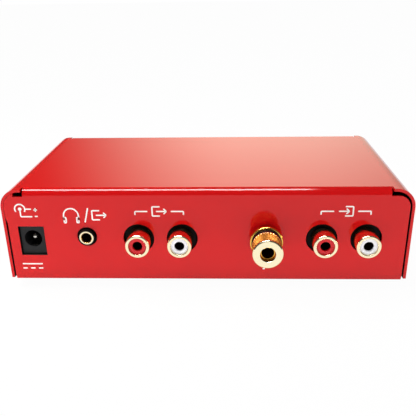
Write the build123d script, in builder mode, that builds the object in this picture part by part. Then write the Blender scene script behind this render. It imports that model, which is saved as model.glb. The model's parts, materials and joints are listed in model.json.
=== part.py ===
from build123d import *
import os
from math import asin, cos, degrees, pi, radians, sin, sqrt

# Phono preamplifier in a folded sheet-metal case.
# Frame: origin on the surface it stands on, under the middle of the whole unit.
# +Z is up, the control panel faces -Y and the connector panel faces +Y.
# On each panel u runs to the right as that panel is looked at, and v runs up
# from the lower edge of the case. All sizes are in millimetres.

os.makedirs("parts", exist_ok=True)

# ---------------------------------------------------------------- case
case_width = 142.0
case_depth = 72.0
case_height = 34.3
sheet = 1.0
corner_inner = 5.7  # inside radius of the two bends between top and sides
rear_inner = 1.6  # inside radius of the bend between top and connector panel
front_inner = 0.3  # the same over the control panel
side_lift = 0.6  # how far the sides stop short of the panels' lower edges
flange_reach = 10.0
flange_edge = 0.6  # outside radius of the coined folds along the panels' lower edges
flange_relief = 0.1  # how far the flange stops short of the panel's edge
strip_inset = 8.2  # from the case's side to the strip that runs over both end bends
relief_width = 0.6  # slot that parts an end bend from a corner bend
relief_depth = 2.4
panel_gap = 0.65  # open seam between an end panel and a side
shoulder_radius = 4.0
front_shoulder_radius = 5.0
tight_gap = 0.1  # the same seam where the connector panel was folded closer
tight_reach = 1.9  # how far from the flat top its shoulder follows the corner bend
tight_drop = 3.6  # how far below the corner bend the seam is that close
tight_blend = 2.0  # height over which it closes

base_sheet = 1.0
base_end_inset = 4.0
base_side_inset = 1.6
base_corner = 1.5
foot_height = 2.4
foot_radius = 5.0
foot_taper = 0.8
foot_inset = 14.0

# ---------------------------------------------------------------- fasteners
screw_radius = 1.5
screw_head_radius = 2.8
screw_head_height = 1.7
screw_crown_radius = 1.7
screw_rim_height = 0.85
screw_recess_depth = 0.7
screw_recess_length = 3.1
screw_recess_width = 0.8
screw_reach = 2.4  # thread past the piece that it holds
screw_tip_gap = 0.6  # bottom of a blind tapped hole past the screw's tip
screw_pass = 0.2  # clearance round a screw that passes through
thread_clearance = 0.05
base_screw_side = 21.0  # from the case's side
base_screw_inset = 8.0  # from its end

# ---------------------------------------------------------------- board
board_top = 9.8
board_sheet = 1.6
board_side_gap = 2.0
board_end_gap = 1.6
standoff_flats = 5.0
standoff_spigot = 2.0
standoff_side = 11.0
standoff_front_inset = 15.0
standoff_rear_inset = 22.0

# ---------------------------------------------------------------- phono sockets
output_u = -15.8
input_side = 23.0  # from the case's side to the middle of the pair
phono_axis = 6.3  # sockets' axes above the board
phono_spacing = 14.4
phono_hole_shift = 0.45  # each hole stands this much further out than its barrel
phono_hole_gap = 1.3
phono_reach = 7.2
barrel_radius = 4.15
barrel_bore = 3.05
barrel_lip = 0.45
edge_share = 0.3  # where the two facets of a rounded rim meet, as a share of its size
barrel_tail = 4.0  # barrel's length inside the moulded body
barrel_root = 0.4  # the barrel is full width from this far in front of the panel
barrel_root_cut = 0.25  # and turned down by this much behind that
insulator_recess = 0.6
insulator_face = 0.8
insulator_hole = 1.7
insulator_clearance = 0.02
contact_radius = 2.1
contact_bore = 1.6
contact_tail = 3.0
phono_body_cap = 5.3  # body above the sockets' axes
phono_body_depth = 11.0
phono_body_margin = 5.4
panel_clearance = 0.2  # between the sheet and a moulded body behind it

# ---------------------------------------------------------------- headphone socket
headphone_u = -41.7
headphone_axis = 7.05
headphone_hole_gap = 0.6
headphone_reach = 1.3
nose_wall = 0.38  # outside the ring
ring_radius = 2.57
ring_bore = 1.8
ring_length = 5.0
ring_seat_clearance = 0.02
headphone_bore_depth = 14.0
headphone_body_width = 8.4
headphone_end_wall = 3.7
headphone_cap = 4.0  # body above the bore's axis
ring_edge = 0.15
leaf_sheet = 0.3
leaf_width = 2.0
leaf_length = 6.0
leaf_clearance = 0.2
leaf_setback = 1.0  # from the ring back to the contact leaves
leaf_angles = (90, 210, 330)

# ---------------------------------------------------------------- power socket
power_side = 9.6  # from the case's side to the socket's axis
power_recess = 1.0
power_wall = 1.3  # body beside the bore
power_cap = 1.7  # body above the bore
power_end_wall = 3.8
power_cut_clearance = 0.2
power_axis = 5.9
power_bore = 3.1
power_bore_depth = 9.6
power_pin_radius = 1.0
power_pin_recess = 1.4
power_pin_shoulder = 0.7
power_spring_width = 2.6
power_spring_bow = 0.55
power_spring_gap = 0.25  # round the spring in its slot
power_slot_setback = 1.2
power_slot_height = 1.5

# ---------------------------------------------------------------- ground post
ground_u = 21.1
ground_v = 16.3
post_reach = 13.6
spacer_radius = 4.4
spacer_length = 2.4
collar_radius = 5.7
collar_length = 1.7
collar_chamfer = 0.35
stud_radius = 2.55
stud_tail_radius = 2.0
stud_recess = 1.6
socket_radius = 2.05
socket_depth = 8.0
socket_lip = 0.2
wire_hole = 0.9
wire_hole_reach = 1.2  # from the collar to the hole's axis
post_gap = 0.1
post_running = 0.06
hood_radius = 5.05
hood_edge = 0.4
ring_wall = 0.85
ring_width = 1.6
neck_radius = 3.9
neck_lip = 0.35
neck_lip_length = 0.3
ring_clearance = 0.1
lug_sheet = 0.5
lug_radius = 4.2
lug_width = 3.0
lug_tail = 7.0
post_nut_flats = 8.0
post_nut_length = 2.6
stud_tail_past_nut = 1.6
tail_clearance = 0.1
wire_radius = 0.8
wire_bend = 2.6
wire_run = 5.0

# ---------------------------------------------------------------- controls
control_axis = 6.8
level_side = 25.0
gain_u = 17.0
pot_width = 12.0
pot_depth = 8.0
pot_cap = 6.2
bushing_wall = 0.45
bushing_length = 6.0
bushing_hole_clearance = 0.15
shaft_radius = 3.0
shaft_running = 0.05
shaft_in_pot = 3.0
panel_nut_flats = 10.0
panel_nut_length = 2.0
shaft_chamfer = 0.4
knob_gap = 0.8
knob_height = 13.0
level_knob_wall = 3.3  # skirt's wall outside the nut
gain_knob_wall = 1.4
knob_skirt = 2.2
knob_step = 1.3
knob_step_height = 0.8
knob_taper = 0.3
knob_edge = 0.5
knob_hollow_gap = 0.4
knob_bore_depth = 8.0
flute_radius = 0.8
flute_depth = 0.65
flute_pitch = 2.4
cap_inset = 1.6
cap_sheet = 0.8
cap_clearance = 0.05
line_width = 1.0
line_depth = 0.4
line_inset = 0.8  # from each end of the groove to the cap's edge or axis

switch_u = -16.0
switch_width = 8.0
switch_height = 13.0
switch_depth = 9.0
switch_bushing_wall = 0.55
switch_bushing_length = 7.0
lever_ball = 2.4
lever_running = 0.05
lever_ball_sweep = 120.0  # how much of the ball the outline follows
lever_neck = 1.15
lever_neck_reach = 2.2
lever_tip = 1.5
lever_length = 10.0  # from the pivot to the tip
lever_pivot = 3.6  # out from the panel
lever_tilt = 12.0
switch_nut_flats = 8.0
switch_nut_length = 1.8
switch_hole_clearance = 0.15

led_side = 21.0
led_radius = 1.5
led_flange = 1.9
led_flange_length = 1.0
led_dome = 1.9
led_body = 3.4
bezel_radius = 3.3
bezel_reach = 1.3
bezel_bevel = 0.65
bezel_tail = 1.8
bezel_tail_radius = 2.6
bezel_clearance = 0.05
led_leg = 0.5
led_leg_spacing = 2.54
led_leg_bend = 1.2
led_leg_run = 4.0

# ---------------------------------------------------------------- parts on the board
chip_length = 9.8
chip_width = 6.4
chip_height = 3.3
chip_lift = 0.5
chip_notch = 0.5
chip_x = (-45.0, -15.0, 14.0)
chip_y = 8.0  # board places are counted from the middle of the case
pin_pitch = 2.54
pin_splay = 0.61  # from the chip's side out to the pins
pin_width = 0.5
pin_sheet = 0.25
can_radius = 3.15
can_height = 11.0
can_edge = 0.5
filter_can_side = (12.8, 21.8)  # from the board's edge
filter_can_rows = (-4.0, -14.0)
supply_can_places = ((14.0, -4.0), (23.0, -4.0), (32.0, -4.0), (32.0, 6.0))
film_length = 7.2
film_width = 2.6
film_height = 6.6
film_corner = 0.5
film_input_offsets = (-6.0, 16.0, 22.0)  # across, from the middle of the input sockets
film_output_offsets = (-19.8, -13.8, 10.2)  # across, from the middle of the output sockets
film_gap = 2.5  # to the phono sockets' bodies
resistor_length = 6.0
resistor_radius = 1.1
resistor_end_radius = 0.9
resistor_shoulder = 0.4
resistor_gap = 0.2  # under its body
resistor_lead = 0.6
resistor_lead_bend = 0.65
resistor_span = 10.0
resistor_x = (-34.0, -30.0, -26.0, -22.0, -8.0, -4.0, 0.0, 4.0)
resistor_rows = (-17.0, -4.0)
regulator_side = 7.8
regulator_y = -3.0
regulator_width = 10.0
regulator_depth = 4.4
regulator_height = 9.2
regulator_tab = 1.3
regulator_tab_height = 15.6
regulator_lift = 3.0
regulator_leg_width = 0.8
regulator_leg_sheet = 0.5
diode_length = 5.0
diode_radius = 1.35
diode_side = 17.8
diode_rows = (-8.0, -2.0, 4.0)

# ---------------------------------------------------------------- derived places
corner_outer = corner_inner + sheet
rear_outer = rear_inner + sheet
front_outer = front_inner + sheet
case_bottom = foot_height + base_sheet
case_top = case_bottom + case_height
half_inside = case_width / 2 - sheet
flat_half = case_width / 2 - corner_outer
strip_half = case_width / 2 - strip_inset
panel_half = half_inside - panel_gap
shoulder_v = case_height - rear_outer
front_shoulder_v = case_height - front_outer
corner_v = case_height - corner_outer
tight_full = corner_v - tight_drop
tight_start = tight_full - tight_blend

phono_v = board_top + phono_axis
headphone_v = board_top + headphone_axis
power_v = board_top + power_axis
control_v = board_top + control_axis
input_u = case_width / 2 - input_side
power_u = power_side - case_width / 2
level_u = case_width / 2 - level_side
led_u = led_side - case_width / 2
base_screw_x = case_width / 2 - base_screw_side
standoff_x = case_width / 2 - standoff_side

body_start = -(sheet + panel_clearance)
barrel_end = body_start - barrel_tail
barrel_root_radius = barrel_radius - barrel_root_cut
phono_hole_radius = barrel_radius + phono_hole_gap
phono_hole_spacing = phono_spacing + 2 * phono_hole_shift
phono_body_height = phono_axis + phono_body_cap
nose_radius = ring_radius + nose_wall
headphone_hole_radius = nose_radius + headphone_hole_gap
headphone_body_height = headphone_axis + headphone_cap
headphone_body_depth = headphone_bore_depth - headphone_reach + body_start + headphone_end_wall
power_body_width = 2 * (power_bore + power_wall)
power_body_height = power_axis + power_bore + power_cap
power_body_depth = power_bore_depth + power_end_wall
bushing_radius = shaft_radius + shaft_running + bushing_wall
switch_bore = lever_ball + lever_running
switch_bushing_radius = switch_bore + switch_bushing_wall

lever_reach = lever_pivot + (lever_length - lever_tip) * cos(radians(lever_tilt)) + lever_tip
front_reach = max(knob_gap + knob_height, lever_reach)
rear_reach = max(post_reach, phono_reach)
rear_y = (case_depth + front_reach - rear_reach) / 2
front_y = rear_y - case_depth
middle_y = (rear_y + front_y) / 2

rear_face = Plane(origin=(0, rear_y, case_bottom), x_dir=(-1, 0, 0), z_dir=(0, 1, 0))
front_face = Plane(origin=(0, front_y, case_bottom), x_dir=(1, 0, 0), z_dir=(0, -1, 0))
board_face = Plane.XY.offset(case_bottom + board_top)

output_pair = [(output_u - phono_spacing / 2, phono_v), (output_u + phono_spacing / 2, phono_v)]
input_pair = [(input_u - phono_spacing / 2, phono_v), (input_u + phono_spacing / 2, phono_v)]
phono_holes = [
    (pair_u + side * phono_hole_spacing / 2, phono_v)
    for pair_u in (output_u, input_u)
    for side in (-1, 1)
]
power_body_v = board_top + power_body_height / 2
base_screw_places = [
    (x, y)
    for x in (-base_screw_x, base_screw_x)
    for y in (front_y + base_screw_inset, rear_y - base_screw_inset)
]
standoff_places = [
    (x, y)
    for x in (-standoff_x, standoff_x)
    for y in (front_y + standoff_front_inset, rear_y - standoff_rear_inset)
]
foot_places = [
    (x, y)
    for x in (foot_inset - case_width / 2, case_width / 2 - foot_inset)
    for y in (front_y + foot_inset, rear_y - foot_inset)
]


# ---------------------------------------------------------------- helpers
def keep(builder, label):
    """Name a finished piece and write it."""
    builder.part.label = label
    export_step(builder.part, f"parts/{label}.step")


def rear_axis(u, v):
    """Turning plane at a place on the connector panel: x is radius, y points out."""
    return Plane(origin=(-u, rear_y, case_bottom + v), x_dir=(1, 0, 0), z_dir=(0, 0, 1))


def front_axis(u, v):
    """Turning plane at a place on the control panel: x is radius, y points out."""
    return Plane(origin=(u, front_y, case_bottom + v), x_dir=(-1, 0, 0), z_dir=(0, 0, 1))


def up_axis(x, y, z):
    """Turning plane on a vertical axis, with y pointing up."""
    return Plane(origin=(x, y, z), x_dir=(1, 0, 0), z_dir=(0, -1, 0))


def down_axis(x, y, z):
    """Turning plane on a vertical axis, with y pointing down."""
    return Plane(origin=(x, y, z), x_dir=(1, 0, 0), z_dir=(0, 1, 0))


def turn(place, outline, mode=Mode.ADD):
    """Turn an outline of (radius, reach) points about the place's y axis."""
    with BuildSketch(place) as section:
        with BuildLine():
            Polyline(*outline, close=True)
        make_face()
    revolve(section.sketch, axis=Axis(place.origin, place.y_dir), mode=mode)


def tube(place, outer, inner, start, end):
    """Turn a plain tube from one reach to another."""
    turn(place, [(inner, start), (outer, start), (outer, end), (inner, end)])


def block(plane, u, v, width, height, depth, mode=Mode.ADD):
    """A rectangular block that goes back from a plane."""
    with BuildSketch(plane) as section:
        with Locations((u, v)):
            Rectangle(width, height)
    extrude(section.sketch, amount=-depth, mode=mode)


def screw(place, shank_length):
    """A pan-head screw with a cross recess; its head sits on the place."""
    turn(
        place,
        [
            (0, -screw_head_height),
            (screw_crown_radius, -screw_head_height),
            (screw_head_radius, -screw_rim_height),
            (screw_head_radius, 0),
            (screw_radius, 0),
            (screw_radius, shank_length),
            (0, shank_length),
        ],
    )
    top = Plane(origin=place.origin, x_dir=place.x_dir, z_dir=-place.y_dir)
    with BuildSketch(top.offset(screw_head_height)) as recess:
        Rectangle(screw_recess_length, screw_recess_width)
        Rectangle(screw_recess_width, screw_recess_length)
    extrude(recess.sketch, amount=-screw_recess_depth, mode=Mode.SUBTRACT)


def hex_nut(plane, u, v, flats, bore, length):
    """A hexagon nut that stands out from a plane."""
    with BuildSketch(plane) as section:
        with Locations((u, v)):
            RegularPolygon(flats / 2, 6, major_radius=False)
            Circle(bore, mode=Mode.SUBTRACT)
    extrude(section.sketch, amount=length)


# ---------------------------------------------------------------- case
with BuildPart() as cover_shell:
    # Top and sides: one arch of sheet over the whole depth.
    with BuildSketch(rear_face):
        with BuildLine():
            FilletPolyline(
                (sheet / 2 - case_width / 2, side_lift),
                (sheet / 2 - case_width / 2, case_height - sheet / 2),
                (case_width / 2 - sheet / 2, case_height - sheet / 2),
                (case_width / 2 - sheet / 2, side_lift),
                radius=corner_inner + sheet / 2,
            )
        trace(line_width=sheet)
    extrude(amount=-case_depth)
    # The arch is cut back where the end panels fold down, with relief slots beside them.
    for end_y, inward, bend in ((rear_y, -1, rear_outer), (front_y, 1, front_outer)):
        for half, depth in ((strip_half, bend), (strip_half + relief_width, relief_depth)):
            with Locations((0, end_y + inward * depth / 2, case_top - sheet / 2)):
                Box(2 * half, depth, 2 * sheet, mode=Mode.SUBTRACT)
    # The strip between the slots runs on over both end bends.
    with BuildSketch(Plane.YZ):
        with BuildLine():
            over_rear = FilletPolyline(
                (rear_y - sheet / 2, case_bottom + sheet),
                (rear_y - sheet / 2, case_top - sheet / 2),
                (middle_y, case_top - sheet / 2),
                radius=rear_inner + sheet / 2,
            )
            FilletPolyline(
                over_rear @ 1,
                (front_y + sheet / 2, case_top - sheet / 2),
                (front_y + sheet / 2, case_bottom + sheet),
                radius=front_inner + sheet / 2,
            )
        trace(line_width=sheet)
    extrude(amount=strip_half, both=True)
    # Control panel: both shoulders rounded to clear the corner bends.
    with BuildSketch(front_face):
        with BuildLine():
            Polyline(
                (-panel_half, sheet),
                (-panel_half, front_shoulder_v),
                (panel_half, front_shoulder_v),
                (panel_half, sheet),
                close=True,
            )
        face = make_face()
        fillet(face.vertices().group_by(Axis.Y)[-1], front_shoulder_radius)
    extrude(amount=-sheet)
    # Connector panel: its left shoulder lies close inside the corner bend.
    tight_half = half_inside - tight_gap
    tight_radius = corner_inner - tight_gap
    tight_sweep = 90 - degrees(asin(tight_reach / tight_radius))
    with BuildSketch(rear_face):
        with BuildLine():
            left = Polyline(
                (panel_half, sheet),
                (-panel_half, sheet),
                (-panel_half, tight_start),
                (-tight_half, tight_full),
                (-tight_half, corner_v),
            )
            arc = CenterArc((-flat_half, corner_v), tight_radius, 180, -tight_sweep)
            step = Polyline(arc @ 1, (-flat_half - tight_reach, shoulder_v), (0, shoulder_v))
            FilletPolyline(step @ 1, (panel_half, shoulder_v), left @ 0, radius=shoulder_radius)
        make_face()
    extrude(amount=-sheet)
    # Flanges along the lower edges of both end panels.
    for end_y, inward in ((rear_y, -1), (front_y, 1)):
        with BuildSketch(Plane.YZ):
            with BuildLine():
                fold = FilletPolyline(
                    (end_y, case_bottom + 2 * sheet),
                    (end_y, case_bottom),
                    (end_y + inward * flange_reach, case_bottom),
                    radius=flange_edge,
                )
                Polyline(
                    fold @ 1,
                    (end_y + inward * flange_reach, case_bottom + sheet),
                    (end_y + inward * sheet, case_bottom + sheet),
                    (end_y + inward * sheet, case_bottom + 2 * sheet),
                    fold @ 0,
                )
            make_face()
        extrude(amount=panel_half - flange_relief, both=True)
    # Holes for the connectors.
    with BuildSketch(rear_face):
        with Locations(*phono_holes):
            Circle(phono_hole_radius)
        with Locations((headphone_u, headphone_v)):
            Circle(headphone_hole_radius)
        with Locations((ground_u, ground_v)):
            Circle(stud_tail_radius + tail_clearance)
        with Locations((power_u, power_body_v)):
            Rectangle(
                power_body_width + 2 * power_cut_clearance,
                power_body_height + 2 * power_cut_clearance,
            )
    extrude(amount=-sheet, mode=Mode.SUBTRACT)
    # Holes for the controls.
    with BuildSketch(front_face):
        with Locations((level_u, control_v), (gain_u, control_v)):
            Circle(bushing_radius + bushing_hole_clearance)
        with Locations((switch_u, control_v)):
            Circle(switch_bushing_radius + switch_hole_clearance)
        with Locations((led_u, control_v)):
            Circle(bezel_tail_radius + bezel_clearance)
    extrude(amount=-sheet, mode=Mode.SUBTRACT)
    # Tapped holes in the flanges.
    with BuildSketch(Plane.XY.offset(case_bottom)):
        with Locations(*base_screw_places):
            Circle(screw_radius + thread_clearance)
    extrude(amount=sheet, mode=Mode.SUBTRACT)
keep(cover_shell, "cover_shell")

with BuildPart() as base_plate:
    with BuildSketch(Plane.XY.offset(foot_height)):
        with Locations((0, middle_y)):
            RectangleRounded(
                case_width - 2 * base_side_inset, case_depth - 2 * base_end_inset, base_corner
            )
        with Locations(*base_screw_places):
            Circle(screw_radius + screw_pass, mode=Mode.SUBTRACT)
        with Locations(*standoff_places):
            Circle(standoff_spigot + thread_clearance, mode=Mode.SUBTRACT)
    extrude(amount=base_sheet)
keep(base_plate, "base_plate")

with BuildPart() as base_screws:
    for x, y in base_screw_places:
        screw(up_axis(x, y, foot_height), base_sheet + sheet + screw_reach)
keep(base_screws, "base_screws")

with BuildPart() as rubber_feet:
    for x, y in foot_places:
        turn(
            up_axis(x, y, 0),
            [
                (0, 0),
                (foot_radius - foot_taper, 0),
                (foot_radius, foot_taper),
                (foot_radius, foot_height),
                (0, foot_height),
            ],
        )
keep(rubber_feet, "rubber_feet")

# ---------------------------------------------------------------- board and pillars
board_front = front_y + sheet + board_end_gap
board_rear = rear_y - sheet - board_end_gap
board_half = half_inside - board_side_gap
with BuildPart() as circuit_board:
    with BuildSketch(board_face):
        with Locations((0, (board_front + board_rear) / 2)):
            RectangleRounded(
                2 * board_half, board_rear - board_front, base_corner
            )
        with Locations(*standoff_places):
            Circle(screw_radius + screw_pass, mode=Mode.SUBTRACT)
    extrude(amount=-board_sheet)
keep(circuit_board, "circuit_board")

standoff_height = board_top - board_sheet
with BuildPart() as board_standoffs:
    with BuildSketch(Plane.XY.offset(case_bottom)):
        with Locations(*standoff_places):
            RegularPolygon(standoff_flats / 2, 6, major_radius=False)
    extrude(amount=standoff_height)
    with BuildSketch(Plane.XY.offset(case_bottom)):
        with Locations(*standoff_places):
            Circle(standoff_spigot)
    extrude(amount=-base_sheet)
    with BuildSketch(Plane.XY.offset(case_bottom + standoff_height)):
        with Locations(*standoff_places):
            Circle(screw_radius + thread_clearance)
    extrude(amount=-screw_reach - screw_tip_gap, mode=Mode.SUBTRACT)
keep(board_standoffs, "board_standoffs")

with BuildPart() as board_screws:
    for x, y in standoff_places:
        screw(down_axis(x, y, case_bottom + board_top), board_sheet + screw_reach)
keep(board_screws, "board_screws")


# ---------------------------------------------------------------- phono sockets
body_face = rear_face.offset(body_start)
contact_front = phono_reach - insulator_recess - insulator_face


def make_phono_pair(name, pair, colours):
    """Two phono sockets in one moulded body; colours name the insulators left to right."""
    middle_u = (pair[0][0] + pair[1][0]) / 2
    width = phono_spacing + 2 * phono_body_margin
    with BuildPart() as body:
        block(
            body_face,
            middle_u,
            board_top + phono_body_height / 2,
            width,
            phono_body_height,
            phono_body_depth,
        )
        for u, v in pair:
            wide = barrel_root_radius + insulator_clearance
            narrow = contact_radius + insulator_clearance
            turn(
                rear_axis(u, v),
                [
                    (0, body_start),
                    (wide, body_start),
                    (wide, barrel_end),
                    (narrow, barrel_end),
                    (narrow, barrel_end - contact_tail),
                    (0, barrel_end - contact_tail),
                ],
                mode=Mode.SUBTRACT,
            )
    keep(body, f"{name}_body")

    with BuildPart() as barrels:
        for u, v in pair:
            turn(
                rear_axis(u, v),
                [
                    (barrel_bore, barrel_end),
                    (barrel_root_radius, barrel_end),
                    (barrel_root_radius, barrel_root),
                    (barrel_radius, barrel_root),
                    (barrel_radius, phono_reach - barrel_lip),
                    (barrel_radius - barrel_lip * edge_share, phono_reach - barrel_lip * edge_share),
                    (barrel_radius - barrel_lip, phono_reach),
                    (barrel_bore + barrel_lip / 2, phono_reach),
                    (barrel_bore, phono_reach - barrel_lip / 2),
                ],
            )
    keep(barrels, f"{name}_barrels")

    for colour, (u, v) in zip(colours, pair):
        outer = barrel_bore - insulator_clearance
        inner = contact_radius + insulator_clearance
        with BuildPart() as insulator:
            turn(
                rear_axis(u, v),
                [
                    (inner, barrel_end),
                    (outer, barrel_end),
                    (outer, phono_reach - insulator_recess),
                    (insulator_hole, phono_reach - insulator_recess),
                    (insulator_hole, contact_front),
                    (inner, contact_front),
                ],
            )
        keep(insulator, f"{name}_insulator_{colour}")

    with BuildPart() as contacts:
        for u, v in pair:
            turn(
                rear_axis(u, v),
                [
                    (0, barrel_end - contact_tail),
                    (contact_radius, barrel_end - contact_tail),
                    (contact_radius, contact_front - insulator_clearance),
                    (contact_bore, contact_front - insulator_clearance),
                    (contact_bore, barrel_end),
                    (0, barrel_end),
                ],
            )
    keep(contacts, f"{name}_contacts")


make_phono_pair("output_jack", output_pair, ("red", "white"))
make_phono_pair("input_jack", input_pair, ("red", "white"))

# ---------------------------------------------------------------- headphone socket
leaf_start = headphone_reach - ring_length - leaf_setback
with BuildPart() as headphone_jack_body:
    block(
        body_face,
        headphone_u,
        board_top + headphone_body_height / 2,
        headphone_body_width,
        headphone_body_height,
        headphone_body_depth,
    )
    bore_axis = rear_axis(headphone_u, headphone_v)
    tube(bore_axis, nose_radius, ring_bore, body_start, headphone_reach)
    seat = ring_radius + ring_seat_clearance
    turn(
        bore_axis,
        [
            (0, headphone_reach),
            (seat, headphone_reach),
            (seat, headphone_reach - ring_length - ring_seat_clearance),
            (ring_bore, headphone_reach - ring_length - ring_seat_clearance),
            (ring_bore, headphone_reach - headphone_bore_depth),
            (0, headphone_reach - headphone_bore_depth),
        ],
        mode=Mode.SUBTRACT,
    )
    # A pocket beside the bore for each contact leaf.
    with BuildSketch(rear_face.offset(leaf_start)) as pockets:
        with Locations((headphone_u, headphone_v)):
            for angle in leaf_angles:
                with PolarLocations(ring_bore + leaf_sheet, 1, start_angle=angle):
                    Rectangle(2 * (leaf_sheet + leaf_clearance), leaf_width + 2 * leaf_clearance)
    extrude(pockets.sketch, amount=-leaf_length, mode=Mode.SUBTRACT)
keep(headphone_jack_body, "headphone_jack_body")

with BuildPart() as headphone_jack_ring:
    turn(
        rear_axis(headphone_u, headphone_v),
        [
            (ring_bore, headphone_reach - ring_length),
            (ring_radius, headphone_reach - ring_length),
            (ring_radius, headphone_reach - ring_edge),
            (ring_radius - ring_edge, headphone_reach),
            (ring_bore + ring_edge, headphone_reach),
            (ring_bore, headphone_reach - ring_edge),
        ],
    )
keep(headphone_jack_ring, "headphone_jack_ring")

with BuildPart() as headphone_jack_springs:
    leaf_radius = ring_bore + leaf_clearance / 2 + leaf_sheet
    with BuildSketch(rear_face.offset(leaf_start)) as leaves:
        with Locations((headphone_u, headphone_v)):
            for angle in leaf_angles:
                with PolarLocations(leaf_radius, 1, start_angle=angle):
                    Rectangle(leaf_sheet, leaf_width)
    extrude(leaves.sketch, amount=-leaf_length)
keep(headphone_jack_springs, "headphone_jack_springs")

# ---------------------------------------------------------------- power socket
power_bore_end = -power_recess - power_bore_depth
slot_floor = power_v - power_bore - leaf_sheet
pin_tip = -power_recess - power_pin_recess
with BuildPart() as power_jack_body:
    block(
        rear_face.offset(-power_recess),
        power_u,
        power_body_v,
        power_body_width,
        power_body_height,
        power_body_depth,
    )
    turn(
        rear_axis(power_u, power_v),
        [
            (0, -power_recess),
            (power_bore, -power_recess),
            (power_bore, power_bore_end),
            (0, power_bore_end),
        ],
        mode=Mode.SUBTRACT,
    )
    # Slot under the bore that the contact spring lies in.
    block(
        rear_face.offset(-power_recess - power_slot_setback),
        power_u,
        slot_floor + power_slot_height / 2,
        power_spring_width + 2 * power_spring_gap,
        power_slot_height,
        power_bore_depth - power_slot_setback,
        mode=Mode.SUBTRACT,
    )
keep(power_jack_body, "power_jack_body")

with BuildPart() as power_jack_pin:
    turn(
        rear_axis(power_u, power_v),
        [
            (0, power_bore_end),
            (power_pin_radius, power_bore_end),
            (power_pin_radius, pin_tip - power_pin_radius / 2),
            (power_pin_shoulder, pin_tip - power_pin_radius * edge_share / 2),
            (0, pin_tip),
        ],
    )
keep(power_jack_pin, "power_jack_pin")

with BuildPart() as power_jack_spring:
    spring_z = case_bottom + slot_floor + leaf_sheet / 2
    spring_front = rear_y - power_recess - power_slot_setback - power_spring_gap
    spring_back = rear_y + power_bore_end + power_spring_gap
    spring_middle = (spring_front + spring_back) / 2
    with BuildSketch(Plane.YZ.offset(-power_u)) as spring_section:
        with BuildLine():
            Spline(
                (spring_back, spring_z),
                (spring_middle, spring_z + power_spring_bow),
                (spring_front, spring_z),
            )
        trace(line_width=leaf_sheet)
    extrude(spring_section.sketch, amount=power_spring_width / 2, both=True)
keep(power_jack_spring, "power_jack_spring")

# ---------------------------------------------------------------- ground post
post_axis = rear_axis(ground_u, ground_v)
collar_front = spacer_length + collar_length
stud_end = post_reach - stud_recess
lug_start = -sheet
nut_start = lug_start - lug_sheet
nut_end = nut_start - post_nut_length
hood_start = collar_front + post_gap
ring_start = hood_start + neck_lip_length / 2
ring_end = ring_start + ring_width
hood_bore = stud_radius + post_running
ring_bore_front = neck_radius + ring_clearance
ring_bore_back = neck_radius + neck_lip + ring_clearance
ring_outer = ring_bore_back + ring_wall

with BuildPart() as ground_post_spacer:
    tube(post_axis, spacer_radius, stud_tail_radius + tail_clearance, 0, spacer_length)
keep(ground_post_spacer, "ground_post_spacer")

with BuildPart() as ground_post_stud:
    turn(
        post_axis,
        [
            (0, nut_end - stud_tail_past_nut),
            (stud_tail_radius, nut_end - stud_tail_past_nut),
            (stud_tail_radius, spacer_length),
            (collar_radius - collar_chamfer, spacer_length),
            (collar_radius, spacer_length + collar_chamfer),
            (collar_radius, collar_front - collar_chamfer),
            (collar_radius - collar_chamfer, collar_front),
            (stud_radius, collar_front),
            (stud_radius, stud_end),
            (socket_radius + socket_lip, stud_end),
            (socket_radius, stud_end - 2 * socket_lip),
            (socket_radius, stud_end - socket_depth),
            (0, stud_end - socket_depth),
        ],
    )
    wire_hole_y = rear_y + collar_front + wire_hole_reach
    with BuildSketch(Plane.YZ.offset(-ground_u)) as cross_hole:
        with Locations((wire_hole_y, case_bottom + ground_v)):
            Circle(wire_hole)
    extrude(cross_hole.sketch, amount=collar_radius, both=True, mode=Mode.SUBTRACT)
keep(ground_post_stud, "ground_post_stud")

with BuildPart() as ground_post_ring:
    turn(
        post_axis,
        [
            (ring_bore_back, ring_start),
            (ring_outer, ring_start),
            (ring_outer, ring_end),
            (ring_bore_front, ring_end),
            (ring_bore_front, hood_start + neck_lip_length + ring_clearance),
            (ring_bore_back, hood_start + neck_lip_length + ring_clearance),
        ],
    )
keep(ground_post_ring, "ground_post_ring")

with BuildPart() as ground_post_hood:
    turn(
        post_axis,
        [
            (hood_bore, hood_start),
            (neck_radius + neck_lip, hood_start),
            (neck_radius + neck_lip, hood_start + neck_lip_length),
            (neck_radius, hood_start + neck_lip_length),
            (neck_radius, ring_end + ring_clearance),
            (hood_radius, ring_end + ring_clearance),
            (hood_radius, post_reach - hood_edge),
            (hood_radius - hood_edge * edge_share, post_reach - hood_edge * edge_share),
            (hood_radius - hood_edge, post_reach),
            (hood_bore, post_reach),
        ],
    )
keep(ground_post_hood, "ground_post_hood")

with BuildPart() as ground_post_lug:
    with BuildSketch(rear_face.offset(lug_start)) as lug_outline:
        with Locations((ground_u, ground_v)):
            Circle(lug_radius)
        with Locations((ground_u + lug_tail / 2, ground_v)):
            Rectangle(lug_tail, lug_width)
        with Locations((ground_u, ground_v)):
            Circle(stud_tail_radius + tail_clearance, mode=Mode.SUBTRACT)
    extrude(lug_outline.sketch, amount=-lug_sheet)
keep(ground_post_lug, "ground_post_lug")

with BuildPart() as ground_post_nut:
    hex_nut(
        rear_face.offset(nut_end),
        ground_u,
        ground_v,
        post_nut_flats,
        stud_tail_radius + thread_clearance,
        post_nut_length,
    )
keep(ground_post_nut, "ground_post_nut")

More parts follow.
